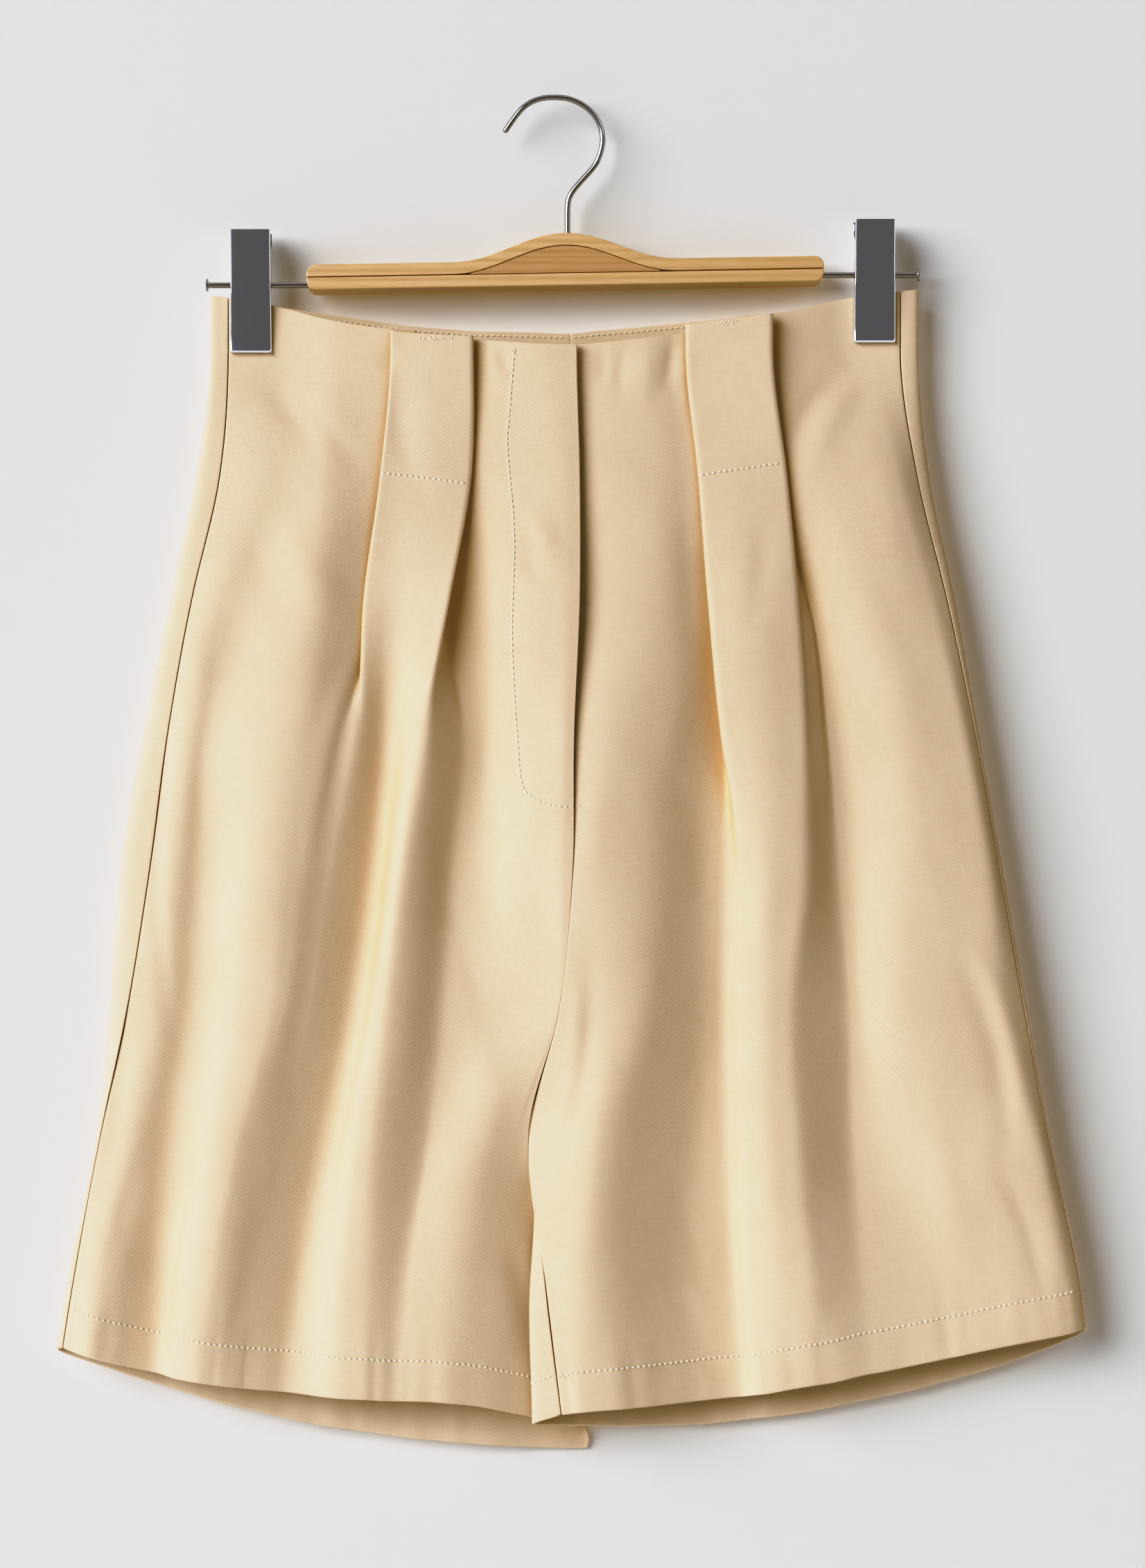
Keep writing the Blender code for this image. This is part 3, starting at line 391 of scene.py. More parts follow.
def cloth_mesh(name, wall, look, inset=0.0, thickness=CLOTH, hem=0.0):
    """A closed thin shell on a wall, with rounded edges and a UV that runs along and down the cloth."""
    points, normals = wall
    rows, columns = points.shape[:2]
    extra = np.zeros((rows, columns))
    if hem:
        extra[DROP > 0] = hem
        extra[:, 0] = extra[:, -1] = 0
    middle = pulled_in(points - normals * inset, thickness / 2, (thickness + hem) / 2)
    outer = middle + normals * thickness / 2
    inner = middle - normals * (thickness / 2 + extra[..., None])
    count = rows * columns
    index = np.arange(count).reshape(rows, columns)
    a, b, d, e = index[:-1, :-1], index[:-1, 1:], index[1:, :-1], index[1:, 1:]
    front, back = np.stack([a, b, e, d], axis=-1), np.stack([a, d, e, b], axis=-1) + count
    border = perimeter(rows, columns)
    rim = []
    for r, c in border:
        centre = (outer[r, c] + inner[r, c]) / 2
        radius = (outer[r, c] - inner[r, c]) / 2
        way = outward_way(middle, r, c) * np.linalg.norm(radius)
        for step in range(1, RIM_STEPS):
            angle = math.pi * step / RIM_STEPS
            rim.append(centre + radius * math.cos(angle) + way * math.sin(angle))
    at = index[tuple(np.transpose(border))]
    between = 2 * count + np.arange(len(rim)).reshape(len(border), -1)
    ring = np.column_stack([at, between, at + count])
    after = np.roll(ring, -1, axis=0)
    edge = np.stack([after[:, :-1], ring[:, :-1], ring[:, 1:], after[:, 1:]], axis=-1)
    faces = np.concatenate([front.reshape(-1, 4), back.reshape(-1, 4), edge.reshape(-1, 4)])
    flat = np.column_stack([run_along(points, 1).ravel(), -run_along(points, 0).ravel()])
    uv = np.concatenate([flat, flat, flat[np.repeat(at, RIM_STEPS - 1)]])
    places = np.concatenate([outer.reshape(-1, 3), inner.reshape(-1, 3), np.array(rim)])
    return make(name, places, faces.tolist(), look, uv)


def make(name, points, faces, look, uv=None, smooth=True):
    """An object on the one body, from points (across, lift, height) and the faces of closed forms."""
    mesh = bpy.data.meshes.new(name)
    places = np.asarray(points, float) * (MM, -MM, MM)
    mesh.from_pydata(places.tolist(), [], faces)
    mesh.calc_loop_triangles()
    triangles = np.zeros(len(mesh.loop_triangles) * 3, int)
    mesh.loop_triangles.foreach_get("vertices", triangles)
    if np.linalg.det(places[triangles].reshape(-1, 3, 3)).sum() < 0:
        mesh.flip_normals()
    if uv is not None:
        layer = mesh.uv_layers.new(name="UVMap")
        order = np.zeros(len(mesh.loops), int)
        mesh.loops.foreach_get("vertex_index", order)
        layer.data.foreach_set("uv", (uv[order] * MM).ravel())
    mesh.materials.append(look)
    if smooth:
        mesh.shade_smooth()
    made = bpy.data.objects.new(name, mesh)
    bpy.context.scene.collection.objects.link(made)
    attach(made, "root")
    return made


def spokes(sides):
    """The cosine and sine of each point's angle on a ring."""
    return [(math.cos(angle), math.sin(angle)) for angle in (2 * math.pi * k / sides for k in range(sides))]


def ring_faces(rings, sides, first=0):
    """The faces of a closed form whose points are rings, each beside the one before."""
    faces = []
    for start in range(first, first + (rings - 1) * sides, sides):
        for k in range(sides):
            a, b = start + k, start + (k + 1) % sides
            faces.append((a, b, b + sides, a + sides))
    last = first + (rings - 1) * sides
    return faces + [tuple(range(first, first + sides))[::-1], tuple(range(last, last + sides))]


# ---------------------------------------------------------------- creases

# Soft ridges (positive depth) and troughs (negative) on the fronts: where each starts and ends
# (across, height), how far it bows sideways, its half width and its depth.
FRONT_CREASES = (
    (-155, -128, -118, -172, 3, 6, -1.2),
    (-147, -130, -96, -186, 5, 7, -1.0),
    (-152, -130, -106, -180, 4, 5, 0.4),
    (-136, -140, -100, -168, 3, 7, 0.7),
    (-78, -136, -70, -182, -2, 7, -0.9),
    (-82, -120, -84, -136, 1, 4, -0.8),
    (-34, -122, -28, -140, 2, 4, 0.8),
    (-30, -124, -25, -136, 1, 3, -0.8),
    (-13, -205, -4, -224, 2, 5, 0.9),
    (-16, -214, -6, -238, -2, 5, -0.8),
    (-192, -305, -190, -455, -4, 4.5, -1.5),
    (-199, -330, -196, -470, 4, 6, 0.8),
    (-213, -430, -226, -560, 5, 6, -1.2),
    (-205, -520, -222, -620, -4, 5, -1.4),
    (-215, -540, -232, -625, 4, 5, 1.0),
    (-196, -235, -176, -300, 5, 9, 0.8),
    (-150, -205, -120, -262, -6, 11, -0.9),
    (-132, -206, -104, -250, -5, 8, 0.7),
    (142, -135, 112, -172, -4, 6, -1.2),
    (150, -136, 122, -186, -3, 6, 0.8),
    (196, -420, 219, -520, 7, 6, -1.1),
    (203, -415, 226, -500, 6, 5, 0.9),
    (214, -520, 236, -590, 5, 5, -0.9),
    (186, -470, 206, -590, -7, 9, 0.8),
    (22, -330, 6, -430, -4, 8, 0.7),
    (16, -415, 6, -505, 4, 5.5, -0.9),
    (10, -430, 1, -505, 3, 4, 0.9),
    (-24, -560, -14, -618, 3, 6, -1.3),
    (-60, -420, -30, -520, 8, 11, 0.9),
    (-22, -352, -6, -440, 6, 9, -0.8),
    (62, -250, 52, -330, 5, 9, 0.8),
    (99, -205, 94, -262, 3, 6, -0.8),
    (140, -260, 168, -360, 8, 12, 0.8),
    (152, -230, 190, -330, 9, 12, -0.8),
    (22, -121, 21, -142, 1, 3.5, -0.7),
    (33, -120, 31, -148, -1, 4, -0.8),
    (44, -118, 41, -152, 1, 5, 0.7),
    (56, -117, 52, -144, 1, 3.5, -0.8),
    (63, -118, 62, -156, -1, 4, 0.6),
)
BACK_CREASES = (
    (-150, -135, -80, -200, 5, 10, -1.2),
    (150, -135, 82, -205, -5, 10, -1.1),
    (-118, -300, -40, -430, 14, 16, 1.2),
    (-96, -330, -30, -450, 10, 10, -1.2),
    (112, -300, 46, -420, -12, 15, 1.1),
    (92, -340, 34, -455, -9, 10, -1.2),
    (-160, -420, -120, -600, 8, 14, -1.3),
    (166, -400, 128, -590, -8, 15, -1.2),
    (-60, -470, -40, -620, -6, 12, 1.0),
    (74, -470, 58, -610, 6, 12, 1.0),
)
# The clips hold the cloth still: middle across, height and reach of each grip.
GRIPS = ((-150, -110, 22), (155.5, -105, 22))
RUMPLES = 130  # faint dents over a panel's whole field
RUMPLE_DEPTH = 0.36
BACK_RUMPLE_DEPTH = -0.35
PUCKER_DEPTH = 0.6
LEG = 430  # height of the part below the yoke
PUCKER_REACH = 9  # above the hem's stitching
PUCKER_FADE = 8  # toward a wall's sides
GRIP_WIDTH = 0.8  # of its height


def bowed(start, end, bow, count=13):
    """Points along a line that bows sideways in its middle."""
    start, end = np.array(start, float), np.array(end, float)
    way = end - start
    side = np.array([-way[1], way[0]]) / np.linalg.norm(way)
    t = np.linspace(0, 1, count)[:, None]
    return start + way * t + side * bow * 4 * t * (1 - t)


def creased(grid, table):
    """What a table of creases adds to a grid's lift."""
    places = np.stack([grid[..., 0], grid[..., 2]], axis=-1)
    total = np.zeros(grid.shape[:2])
    for x0, z0, x1, z1, bow, width, depth in table:
        line = bowed((x0, z0), (x1, z1), bow)
        near = np.full(grid.shape[:2], 1e9)
        share = np.zeros(grid.shape[:2])
        for k, (a, b) in enumerate(zip(line, line[1:])):
            leg = b - a
            t = np.clip(((places - a) @ leg) / (leg @ leg), 0, 1)
            gap = np.linalg.norm(places - (a + t[..., None] * leg), axis=-1)
            share = np.where(gap < near, (k + t) / (len(line) - 1), share)
            near = np.minimum(gap, near)
        total += depth * np.exp(-((near / width) ** 2)) * np.sin(np.pi * np.clip(share, 0.02, 0.98)) ** 0.7
    return total


def held_still(grid):
    """0 inside the clips' grips and 1 away from them."""
    still = np.ones(grid.shape[:2])
    for x, z, reach in GRIPS:
        gap = np.hypot((grid[..., 0] - x) / GRIP_WIDTH, grid[..., 2] - z)
        still *= np.clip((gap - reach) / reach, 0, 1) ** 0.8
    return still


def puckers(grid, seed):
    """The small uneven waves that the hem's stitching draws up, strongest under it."""
    row = np.linalg.norm(np.diff(grid, axis=1), axis=2).mean(0)
    along = np.concatenate([[0], np.cumsum(row)])
    source = random.Random(seed)
    wave = np.zeros(len(along))
    x = source.uniform(2, 10)
    while x < along[-1]:
        wave += source.uniform(0.35, 1.0) * np.exp(-(((along - x) / source.uniform(3.2, 6.0)) ** 2))
        x += source.uniform(7, 17)
    depth = np.where(DROP > 0, 1.0, np.exp(-((1 - LOWER) * LEG / PUCKER_REACH) ** 1.2))
    depth = np.where(UPPER < 1, 0, depth)
    fade = np.clip(np.minimum(along, along[-1] - along) / PUCKER_FADE, 0, 1)
    return PUCKER_DEPTH * depth[:, None] * (wave * fade)[None, :]


def rumples(grid, seed):
    """Faint uneven dents, as worn cloth keeps after pressing, longer down the cloth than across it."""
    source = random.Random(seed)
    total = np.zeros(grid.shape[:2])
    for _ in range(RUMPLES):
        across, down = source.uniform(-250, 265), source.uniform(-630, -110)
        width, length = source.uniform(5, 14), source.uniform(14, 45)
        lean = source.uniform(-0.5, 0.5)
        z = grid[..., 2] - down
        x = grid[..., 0] - across - lean * z
        total += source.uniform(-1, 1) * np.exp(-((x / width) ** 2) - (z / length) ** 2)
    return total


def relief_of(table, seed, outward, dents):
    """The function that works out a wall's creases, dents and puckers."""

    def relief(grid):
        loose = creased(grid, table) + dents * rumples(grid, seed)
        return loose * held_still(grid) - outward * puckers(grid, seed)

    return relief


# ---------------------------------------------------------------- sewing

PITCH = 2.8  # from one stitch to the next
STITCH = 2.15  # what shows of each
THREAD = 0.3  # radius
TOPSTITCH = 0.42
BAND_THREAD = 0.26
TACK_THREAD = 0.25
THREAD_SIDES = 6
PROUD = 0.1  # how far the hem's inner stitches lie off the cloth
STEP = 1.5  # a tack that would cross a higher step in the cloth is left out
SINK = 0.45  # how far a stitch's ends go into the cloth
TACK_SINK = 0.1
BOW = 0.1  # how far its middle stands up
# A stitch's sections: share of its length, share of the sink, and share of the radius.
STITCH_SECTIONS = ((0, -1, 0.35), (0.14, -0.25, 0.9), (0.5, 0, 1.0), (0.86, -0.25, 0.9), (1, -1, 0.35))


def laid_on(trees, route):
    """A route of (across, height) points laid on the frontmost cloth: places and normals."""
    places, normals = [], []
    for x, z in route:
        hits = [tree.ray_cast(Vector((x * MM, -0.2, z * MM)), Vector((0, 1, 0))) for tree in trees]
        hits = [hit for hit in hits if hit[0] is not None]
        if hits:
            place, normal, _, _ = min(hits, key=lambda hit: hit[3])
            places.append((place.x / MM, -place.y / MM, place.z / MM))
            normals.append((normal.x, -normal.y, normal.z))
    return np.array(places), np.array(normals)


def lengths_to(points):
    """The length of a route up to each of its points."""
    return np.concatenate([[0], np.cumsum(np.linalg.norm(np.diff(points, axis=0), axis=1))])


def smooth_route(points, step=1.0):
    """A Catmull-Rom curve through given points, with points every `step`."""
    points = np.array(points, float)
    padded = np.vstack([2 * points[0] - points[1], points, 2 * points[-1] - points[-2]])
    curve = []
    for a, b, c, d in zip(padded, padded[1:], padded[2:], padded[3:]):
        for t in np.linspace(0, 1, 9)[:-1]:
            square, cube = 2 * a - 5 * b + 4 * c - d, 3 * b - a - 3 * c + d
            curve.append(0.5 * (2 * b + (c - a) * t + square * t**2 + cube * t**3))
    curve = np.array(curve + [points[-1]])
    lengths = lengths_to(curve)
    spots = np.arange(0, lengths[-1], step)
    return np.column_stack([np.interp(spots, lengths, curve[:, axis]) for axis in range(2)])


class Sewing:
    """Collects stitches, and makes one piece of them."""

    def __init__(self, name):
        self.name, self.points, self.faces = name, [], []

    def stitch(self, start, end, normal, radius=THREAD, sink=SINK):
        """One stitch as a short bowed tube with closed ends."""
        way = unit(end - start)
        side = unit(np.cross(way, unit(normal)))
        up = np.cross(side, way)
        self.faces += ring_faces(len(STITCH_SECTIONS), THREAD_SIDES, len(self.points))
        for share, dip, size in STITCH_SECTIONS:
            rise = dip * sink if dip else BOW
            middle = start + (end - start) * share + up * (rise + radius * 0.35)
            for cos, sin in spokes(THREAD_SIDES):
                self.points.append(middle + (side * cos * 1.25 + up * sin) * radius * size)

    def row(self, places, normals, radius=THREAD):
        """A row of stitches along places on the cloth."""
        lengths = lengths_to(places)

        def at(spot, table):
            return np.array([np.interp(spot, lengths, table[:, axis]) for axis in range(3)])

        spot = 0.5 * (PITCH - STITCH)
        while spot + STITCH < lengths[-1]:
            length = STITCH * dice.uniform(0.9, 1.05)
            self.stitch(at(spot, places), at(spot + length, places), at(spot + length / 2, normals), radius)
            spot += PITCH

    def done(self):
        """Makes the piece."""
        make(self.name, self.points, self.faces, THREAD_LOOK)


# ---------------------------------------------------------------- materials

RIB_PITCH = 0.00095  # metres between the twill's diagonal ribs
RIB_ANGLE = math.radians(-38)
YARN_SHADE = (0.62, 0.5, 0.34)
YARN_SCALE = 1500.0
FUZZ_SCALE = 900.0
FOLD_SHADE_REACH = 0.03  # metres: how far the painted warm shade reaches from a fold


def set_input(tree, socket, value):
    """Gives an input a value, or links it to a socket."""
    if isinstance(value, bpy.types.NodeSocket):
        tree.links.new(value, socket)
    else:
        socket.default_value = value


def add(tree, kind, inputs=(), **settings):
    """The outputs of a new shader node, with its inputs as values or as sockets to link."""
    made = tree.nodes.new("ShaderNode" + kind)
    for name, value in settings.items():
        setattr(made, name, value)
    for name, value in dict(inputs).items():
        set_input(tree, made.inputs[name], value)
    return made.outputs


def mixed(tree, factor, a, b, blend="MIX"):
    """A colour mixed from two, each a colour or a socket."""
    made = tree.nodes.new("ShaderNodeMix")
    made.data_type = "RGBA"
    made.blend_type = blend
    for number, value in ((0, factor), (6, a), (7, b)):
        set_input(tree, made.inputs[number], (*value, 1) if isinstance(value, tuple) else value)
    return made.outputs[2]


def ranged(tree, value, low, high, start=0.0, end=1.0):
    """A value carried from one range to another, held at its ends."""
    inputs = {"Value": value, "From Min": start, "From Max": end, "To Min": low, "To Max": high}
    return add(tree, "MapRange", inputs)["Result"]


def mapped(tree, vector, **settings):
    """Coordinates turned or stretched."""
    return add(tree, "Mapping", {"Vector": vector, **settings})["Vector"]


def noise(tree, vector, scale, detail=2.0):
    """A noise texture's value."""
    return add(tree, "TexNoise", {"Vector": vector, "Scale": scale, "Detail": detail})["Fac"]


def waves(tree, vector, pitch, distortion, bands="X", **inputs):
    """A wave texture's value, with one band every `pitch` metres."""
    inputs = {"Vector": vector, "Scale": 2 * math.pi / (20 * pitch), "Distortion": distortion, **inputs}
    return add(tree, "TexWave", inputs, bands_direction=bands)["Fac"]


def bumped(tree, height, strength, distance, **inputs):
    """A normal moved by a height."""
    inputs = {"Height": height, "Strength": strength, "Distance": distance, **inputs}
    return add(tree, "Bump", inputs)["Normal"]


def blank(name, **values):
    """A material with its shader's own values set: (material, node tree, shader's inputs)."""
    made = bpy.data.materials.new(name)
    made.use_nodes = True
    inputs = made.node_tree.nodes["Principled BSDF"].inputs
    for key, value in values.items():
        inputs[key.replace("_", " ")].default_value = value
    return made, made.node_tree, inputs


def cloth_look(name, light, dark, sheen=0.09, fold_shade_most=0.45):
    """Woven cloth: ribs broken up by the yarns, uneven yarns, soft blotches and painted warm shade in the
    folds.
    """
    made, tree, shader = blank(
        name, Roughness=0.86, Specular_IOR_Level=0.16, Sheen_Weight=sheen, Sheen_Roughness=0.45,
        Sheen_Tint=(1.0, 0.95, 0.86, 1),
    )
    place = add(tree, "TexCoord")
    turned = mapped(tree, place["UV"], Rotation=(0, 0, RIB_ANGLE))
    rib = waves(tree, turned, RIB_PITCH, 0.5, **{"Detail": 1.0, "Detail Scale": 1.5})
    across = mapped(tree, place["UV"], Rotation=(0, 0, math.radians(90)))
    yarn = waves(tree, across, RIB_PITCH * 0.6, 0.4)
    weave = add(tree, "Math", {0: rib, 1: ranged(tree, yarn, 0.72, 1.0)}, operation="MULTIPLY")["Value"]
    warps = noise(tree, mapped(tree, place["UV"], Scale=(1.0, 0.05, 1.0)), YARN_SCALE)
    wefts = noise(tree, mapped(tree, place["UV"], Scale=(0.06, 1.0, 1.0)), YARN_SCALE)
    blotches = {"Vector": place["Object"], "Scale": 22.0, "Detail": 3.0, "Roughness": 0.55}
    blotches = add(tree, "TexNoise", blotches)["Fac"]
    # Painted shade: ambient occlusion darkens and warms the cloth's colour in its folds, in place of shade
    # and bounce light.
    hollow = add(tree, "AmbientOcclusion", {"Distance": FOLD_SHADE_REACH}, samples=8, only_local=True)["AO"]
    colour = mixed(tree, ranged(tree, blotches, 0.0, 1.0, 0.3, 0.7), dark, light)
    for share, tint, blend in (
        (ranged(tree, warps, 0.0, 0.07, 0.35, 0.75), (1.0, 0.96, 0.9), "SCREEN"),
        (ranged(tree, wefts, 0.0, 0.07, 0.35, 0.75), YARN_SHADE, "MULTIPLY"),
        (ranged(tree, weave, 0.28, 0.0), YARN_SHADE, "MULTIPLY"),
        # painted warm shade in the folds
        (ranged(tree, hollow, 0.0, fold_shade_most, 0.88, 0.68), (0.86, 0.72, 0.52), "MULTIPLY"),
    ):
        colour = mixed(tree, share, colour, tint, blend)
    set_input(tree, shader["Base Color"], colour)
    nap = bumped(tree, noise(tree, place["Object"], FUZZ_SCALE), 0.25, 0.0002)
    set_input(tree, shader["Normal"], bumped(tree, weave, 0.6, 0.00005, Normal=nap))
    return made


def wood_look(name, pale, deep, ring_pitch=0.0045):
    """Varnished wood with rings and fine pores running along the bar, and painted shade that darkens it
    toward its +X end.
    """
    made, tree, shader = blank(
        name, Roughness=0.42, Coat_Weight=0.25, Coat_Roughness=0.3, Specular_IOR_Level=0.4,
    )
    place = add(tree, "TexCoord")["Object"]
    grain = mapped(tree, place, Scale=(0.06, 1.0, 1.0))
    bend = noise(tree, grain, 90.0, 3.0)
    rings = waves(tree, grain, ring_pitch, 5.0, "Z", **{"Detail": 2.0, "Detail Scale": 1.2})
    pores = noise(tree, mapped(tree, place, Scale=(0.03, 1.0, 1.0)), 2600.0)
    along = add(tree, "SeparateXYZ", {"Vector": place})["X"]
    colour = mixed(tree, ranged(tree, rings, 0.0, 0.75, 0.25, 1.0), pale, deep)
    colour = mixed(tree, ranged(tree, bend, 0.0, 0.35, 0.35, 0.7), colour, deep)
    # Painted shade: darker toward the bar's +X end, for the half turned away from the key lamp.
    colour = mixed(tree, ranged(tree, along, 0.0, 0.6, -0.06, 0.12), colour, deep)
    colour = mixed(tree, ranged(tree, pores, 0.0, 0.4, 0.5, 0.8), colour, (0.72, 0.58, 0.42), "MULTIPLY")
    set_input(tree, shader["Base Color"], colour)
    set_input(tree, shader["Normal"], bumped(tree, pores, 0.12, 0.0001))
    return made


def chrome_look(name, colour, roughness):
    """Plating with faint rubbing marks."""
    made, tree, shader = blank(name, Metallic=1.0, Base_Color=(*colour, 1))
    drawn = mapped(tree, add(tree, "TexCoord")["Object"], Scale=(1.0, 1.0, 0.12))
    rubbed = noise(tree, drawn, 600.0, 4.0)
    set_input(tree, shader["Roughness"], ranged(tree, rubbed, roughness * 0.8, roughness * 1.5, 0.35, 0.75))
    set_input(tree, shader["Normal"], bumped(tree, rubbed, 0.04, 0.0001))
    return made


TWILL = cloth_look("twill_weave", (0.83, 0.712, 0.598), (0.80, 0.682, 0.568))
LINING_LOOK = cloth_look("twill_wrong_side", (0.85, 0.74, 0.62), (0.82, 0.71, 0.59), sheen=0.2, fold_shade_most=0.08)
TAPE = cloth_look("zip_tape_weave", (0.80, 0.74, 0.62), (0.74, 0.68, 0.56))
THREAD_LOOK = cloth_look("sewing_thread", (0.98, 0.95, 0.88), (0.95, 0.91, 0.83), sheen=0.4, fold_shade_most=0.2)
PINE = wood_look("varnished_pine", (0.78, 0.605, 0.43), (0.64, 0.465, 0.29))
HUMP_WOOD = wood_look("varnished_walnut", (0.66, 0.475, 0.33), (0.55, 0.375, 0.24), 0.0032)
GLUE_LOOK = blank("glue_line", Base_Color=(0.16, 0.075, 0.03, 1), Roughness=0.5)[0]
CHROME = chrome_look("chrome_plating", (0.86, 0.87, 0.89), 0.09)
WIRE_STEEL = chrome_look("bright_wire", (0.42, 0.42, 0.44), 0.16)


# ---------------------------------------------------------------- hanger

WIRE = 1.4  # radius of the hook's wire
# The hook from its tip to its foot: across and height.
HOOK_ROUTE = (
    (-26, -16), (-19.5, -6), (-13.5, -1), (-7, 1.2), (0, 1.4), (6, 0.8), (13, -2.3), (19, -8), (22, -14.5),
    (22.5, -21), (20.5, -28.5), (18, -33), (10.5, -41), (6.5, -46), (5, -51), (5, -60), (5, -83),
)
# Each clip: its middle across, the rod's height and the rod's outer end.
CLIPS = {"right": (-150, -91, -171), "left": (155.5, -86, 176.5)}
# The jaws' sections: height from the rod, lift of the plate, depth of the side flanges, half width.
FRONT_JAW = (
    (26.5, 9.5, 1.6, 9.8),
    (22, 9.0, 1.6, 9.8),
    (11, 7.8, 3.0, 9.8),
    (5, 7.2, 9.0, 9.8),
    (-3.4, 6.5, 8.4, 9.9),
    (-4.4, 6.4, 2.6, 10.0),
    (-14, 5.3, 1.6, 10.1),
    (-27, 4.2, 0.5, 10.2),
    (-32.3, 4.0, 0.5, 10.2),
    (-32.9, 4.3, 0.5, 10.2),
    (-33.4, 4.9, 0.5, 10.2),
)
BACK_JAW = (
    (26.5, -7.5, 1.6, 9.8),
    (22, -7.0, 1.6, 9.8),
    (11, -5.8, 2.6, 8.3),
    (5, -5.2, 8.4, 8.3),
    (-3.4, -4.5, 8.0, 8.3),
    (-4.4, -4.4, 0.8, 8.3),
    (-14, -3.8, 0.6, 10.0),
    (-27, -3.1, 0.5, 10.2),
    (-33.4, -3.1, 0.5, 10.2),
)
JAW_STEPS = 4  # sections made of each
JAW_BEND = 0.8  # radius of the turn into a flange
PLATE = 0.9

BAR_HALF = 126.5  # half its length
BAR_MIDDLE = 4.0  # across
BAR_DEPTH = 16.0
STRIP = 6.1  # height of the lower strip
GLUE = 0.3  # the line's height
GLUE_INSET = 0.35  # behind the bar's faces
GLUE_END = 0.8  # short of the bar's ends
GLUE_GAP = 0.01  # between it and the wood
GLUE_STEPS = 90
BAR_BASE = -92.5  # height of the bar's underside in its middle
BAR_SLOPE = 0.0175  # it hangs a little askew
BAR_TILT = math.radians(5)
HUMP_HALF = 54.0
HUMP_RISE = 13.6
ROD = 1.45  # radius
ROD_LIFT = 1.0
ROD_SEAT = 11.0  # how far a rod goes into the bar
HEAD = 3.2  # a nail head's radius
HEAD_THICK = 1.3

SPRING_RADIUS = 2.55
SPRING_WIRE = 0.5  # radius
SPRING_HALF = 5.0  # half the coil's length
SPRING_TURNS = 5
TURN_STEPS = 18
# The spring's legs, from their ends to the coil: how far they stand apart and how high.
LEGS = ((4.6, 14.0), (3.8, 6.0))


def tube(path, radii, sides=16):
    """A round tube along a path (across, lift, height), with closed ends: its points and faces."""
    path = np.array(path, float)
    ways = unit(np.gradient(path, axis=0))
    side = np.cross(ways[0], (0.0, 1.0, 0.0) if abs(ways[0][1]) < 0.9 else (1.0, 0.0, 0.0))
    points = []
    for place, way, radius in zip(path, ways, radii):
        side = unit(side - way * (side @ way))
        up = np.cross(way, side)
        points += [place + (side * cos + up * sin) * radius for cos, sin in spokes(sides)]
    return points, ring_faces(len(path), sides)


def domed(path, radius, steps=5):
    """A path and its radii with rounded ends: extra places close to each end where the tube narrows."""
    shares = [math.sin(math.pi / 2 * k / steps) + 0.04 for k in range(steps)]
    dips = [radius * (1 - math.cos(math.asin(min(share, 1)))) for share in shares] + [radius]
    narrow = [radius * share for share in shares] + [radius]
    head, tail = (
        [end + unit(beside - end) * dip for dip in dips]
        for end, beside in ((path[0], path[1]), (path[-1], path[-2]))
    )
    gaps = (min(np.linalg.norm(place - path[0]), np.linalg.norm(place - path[-1])) for place in path)
    keep = [place for place, gap in zip(path, gaps) if gap > 1.2 * radius]
    return head + keep + tail[::-1], narrow + [radius] * len(keep) + narrow[::-1]


def spline_route(points, steps=10):
    """A curve of quadratic arcs that is steered by its points and starts and ends on the outer two."""
    points = np.array(points, float)
    curve = []
    for k in range(len(points) - 2):
        start = points[0] if k == 0 else (points[k] + points[k + 1]) / 2
        end = points[-1] if k == len(points) - 3 else (points[k + 1] + points[k + 2]) / 2
        for t in np.linspace(0, 1, steps + 1)[:-1]:
            curve.append((1 - t) ** 2 * start + 2 * t * (1 - t) * points[k + 1] + t * t * end)
    return curve + [points[-1]]


def rod_form(side, sides=32):
    """A rod with its nail head, turned along X: its points and faces."""
    _, height, outer = CLIPS[side]
    way = 1 if outer > 0 else -1
    profile = [
        (outer + way * HEAD_THICK * (1 - 0.35 * (1 - math.cos(a))), HEAD * math.sin(a) + 0.02)
        for a in np.linspace(0.05, math.pi / 2, 7)
    ]
    profile += [
        (outer + way * HEAD_THICK * 0.32, HEAD), (outer + way * 0.12, HEAD - 0.1), (outer, HEAD - 0.35),
        (outer, ROD + 0.35), (outer - way * 0.35, ROD), (BAR_MIDDLE + way * BAR_HALF - way * ROD_SEAT, ROD),
    ]
    ring = spokes(sides)
    points = [
        (x, ROD_LIFT + radius * cos, height + radius * sin) for x, radius in profile for cos, sin in ring
    ]
    return points, ring_faces(len(profile), sides)


def jaw_form(table, side, toward):
    """A pressed plate whose flanges turn out of it through a small radius."""
    middle, rod_height, _ = CLIPS[side]
    rises, *rest = np.array(table, float).T
    sections = [*(np.linspace(a, b, JAW_STEPS + 1)[:-1] for a, b in zip(rises, rises[1:])), rises[-1:]]
    points = []
    for rise in np.concatenate(sections):
        lift, flange, half = (float(np.interp(-rise, -rises, column)) for column in rest)
        near, far = lift - toward * PLATE / 2, lift + toward * PLATE / 2
        tip = far + toward * flange
        outer = [(half, tip), (half, near + toward * JAW_BEND)]
        for angle in np.radians((22.5, 45, 67.5)):
            drop = toward * JAW_BEND * (1 - math.sin(angle))
            outer.append((half - JAW_BEND + JAW_BEND * math.cos(angle), near + drop))
        outer.append((half - JAW_BEND, near))
        right = [(half - PLATE, tip), (half - PLATE, far + toward * 0.1), (half - PLATE - 0.1, far)] + outer
        section = right + [(-x, y) for x, y in reversed(right)]
        points += [(middle + x, y, rod_height + rise) for x, y in section]
    return points, ring_faces(len(points) // len(section), len(section))


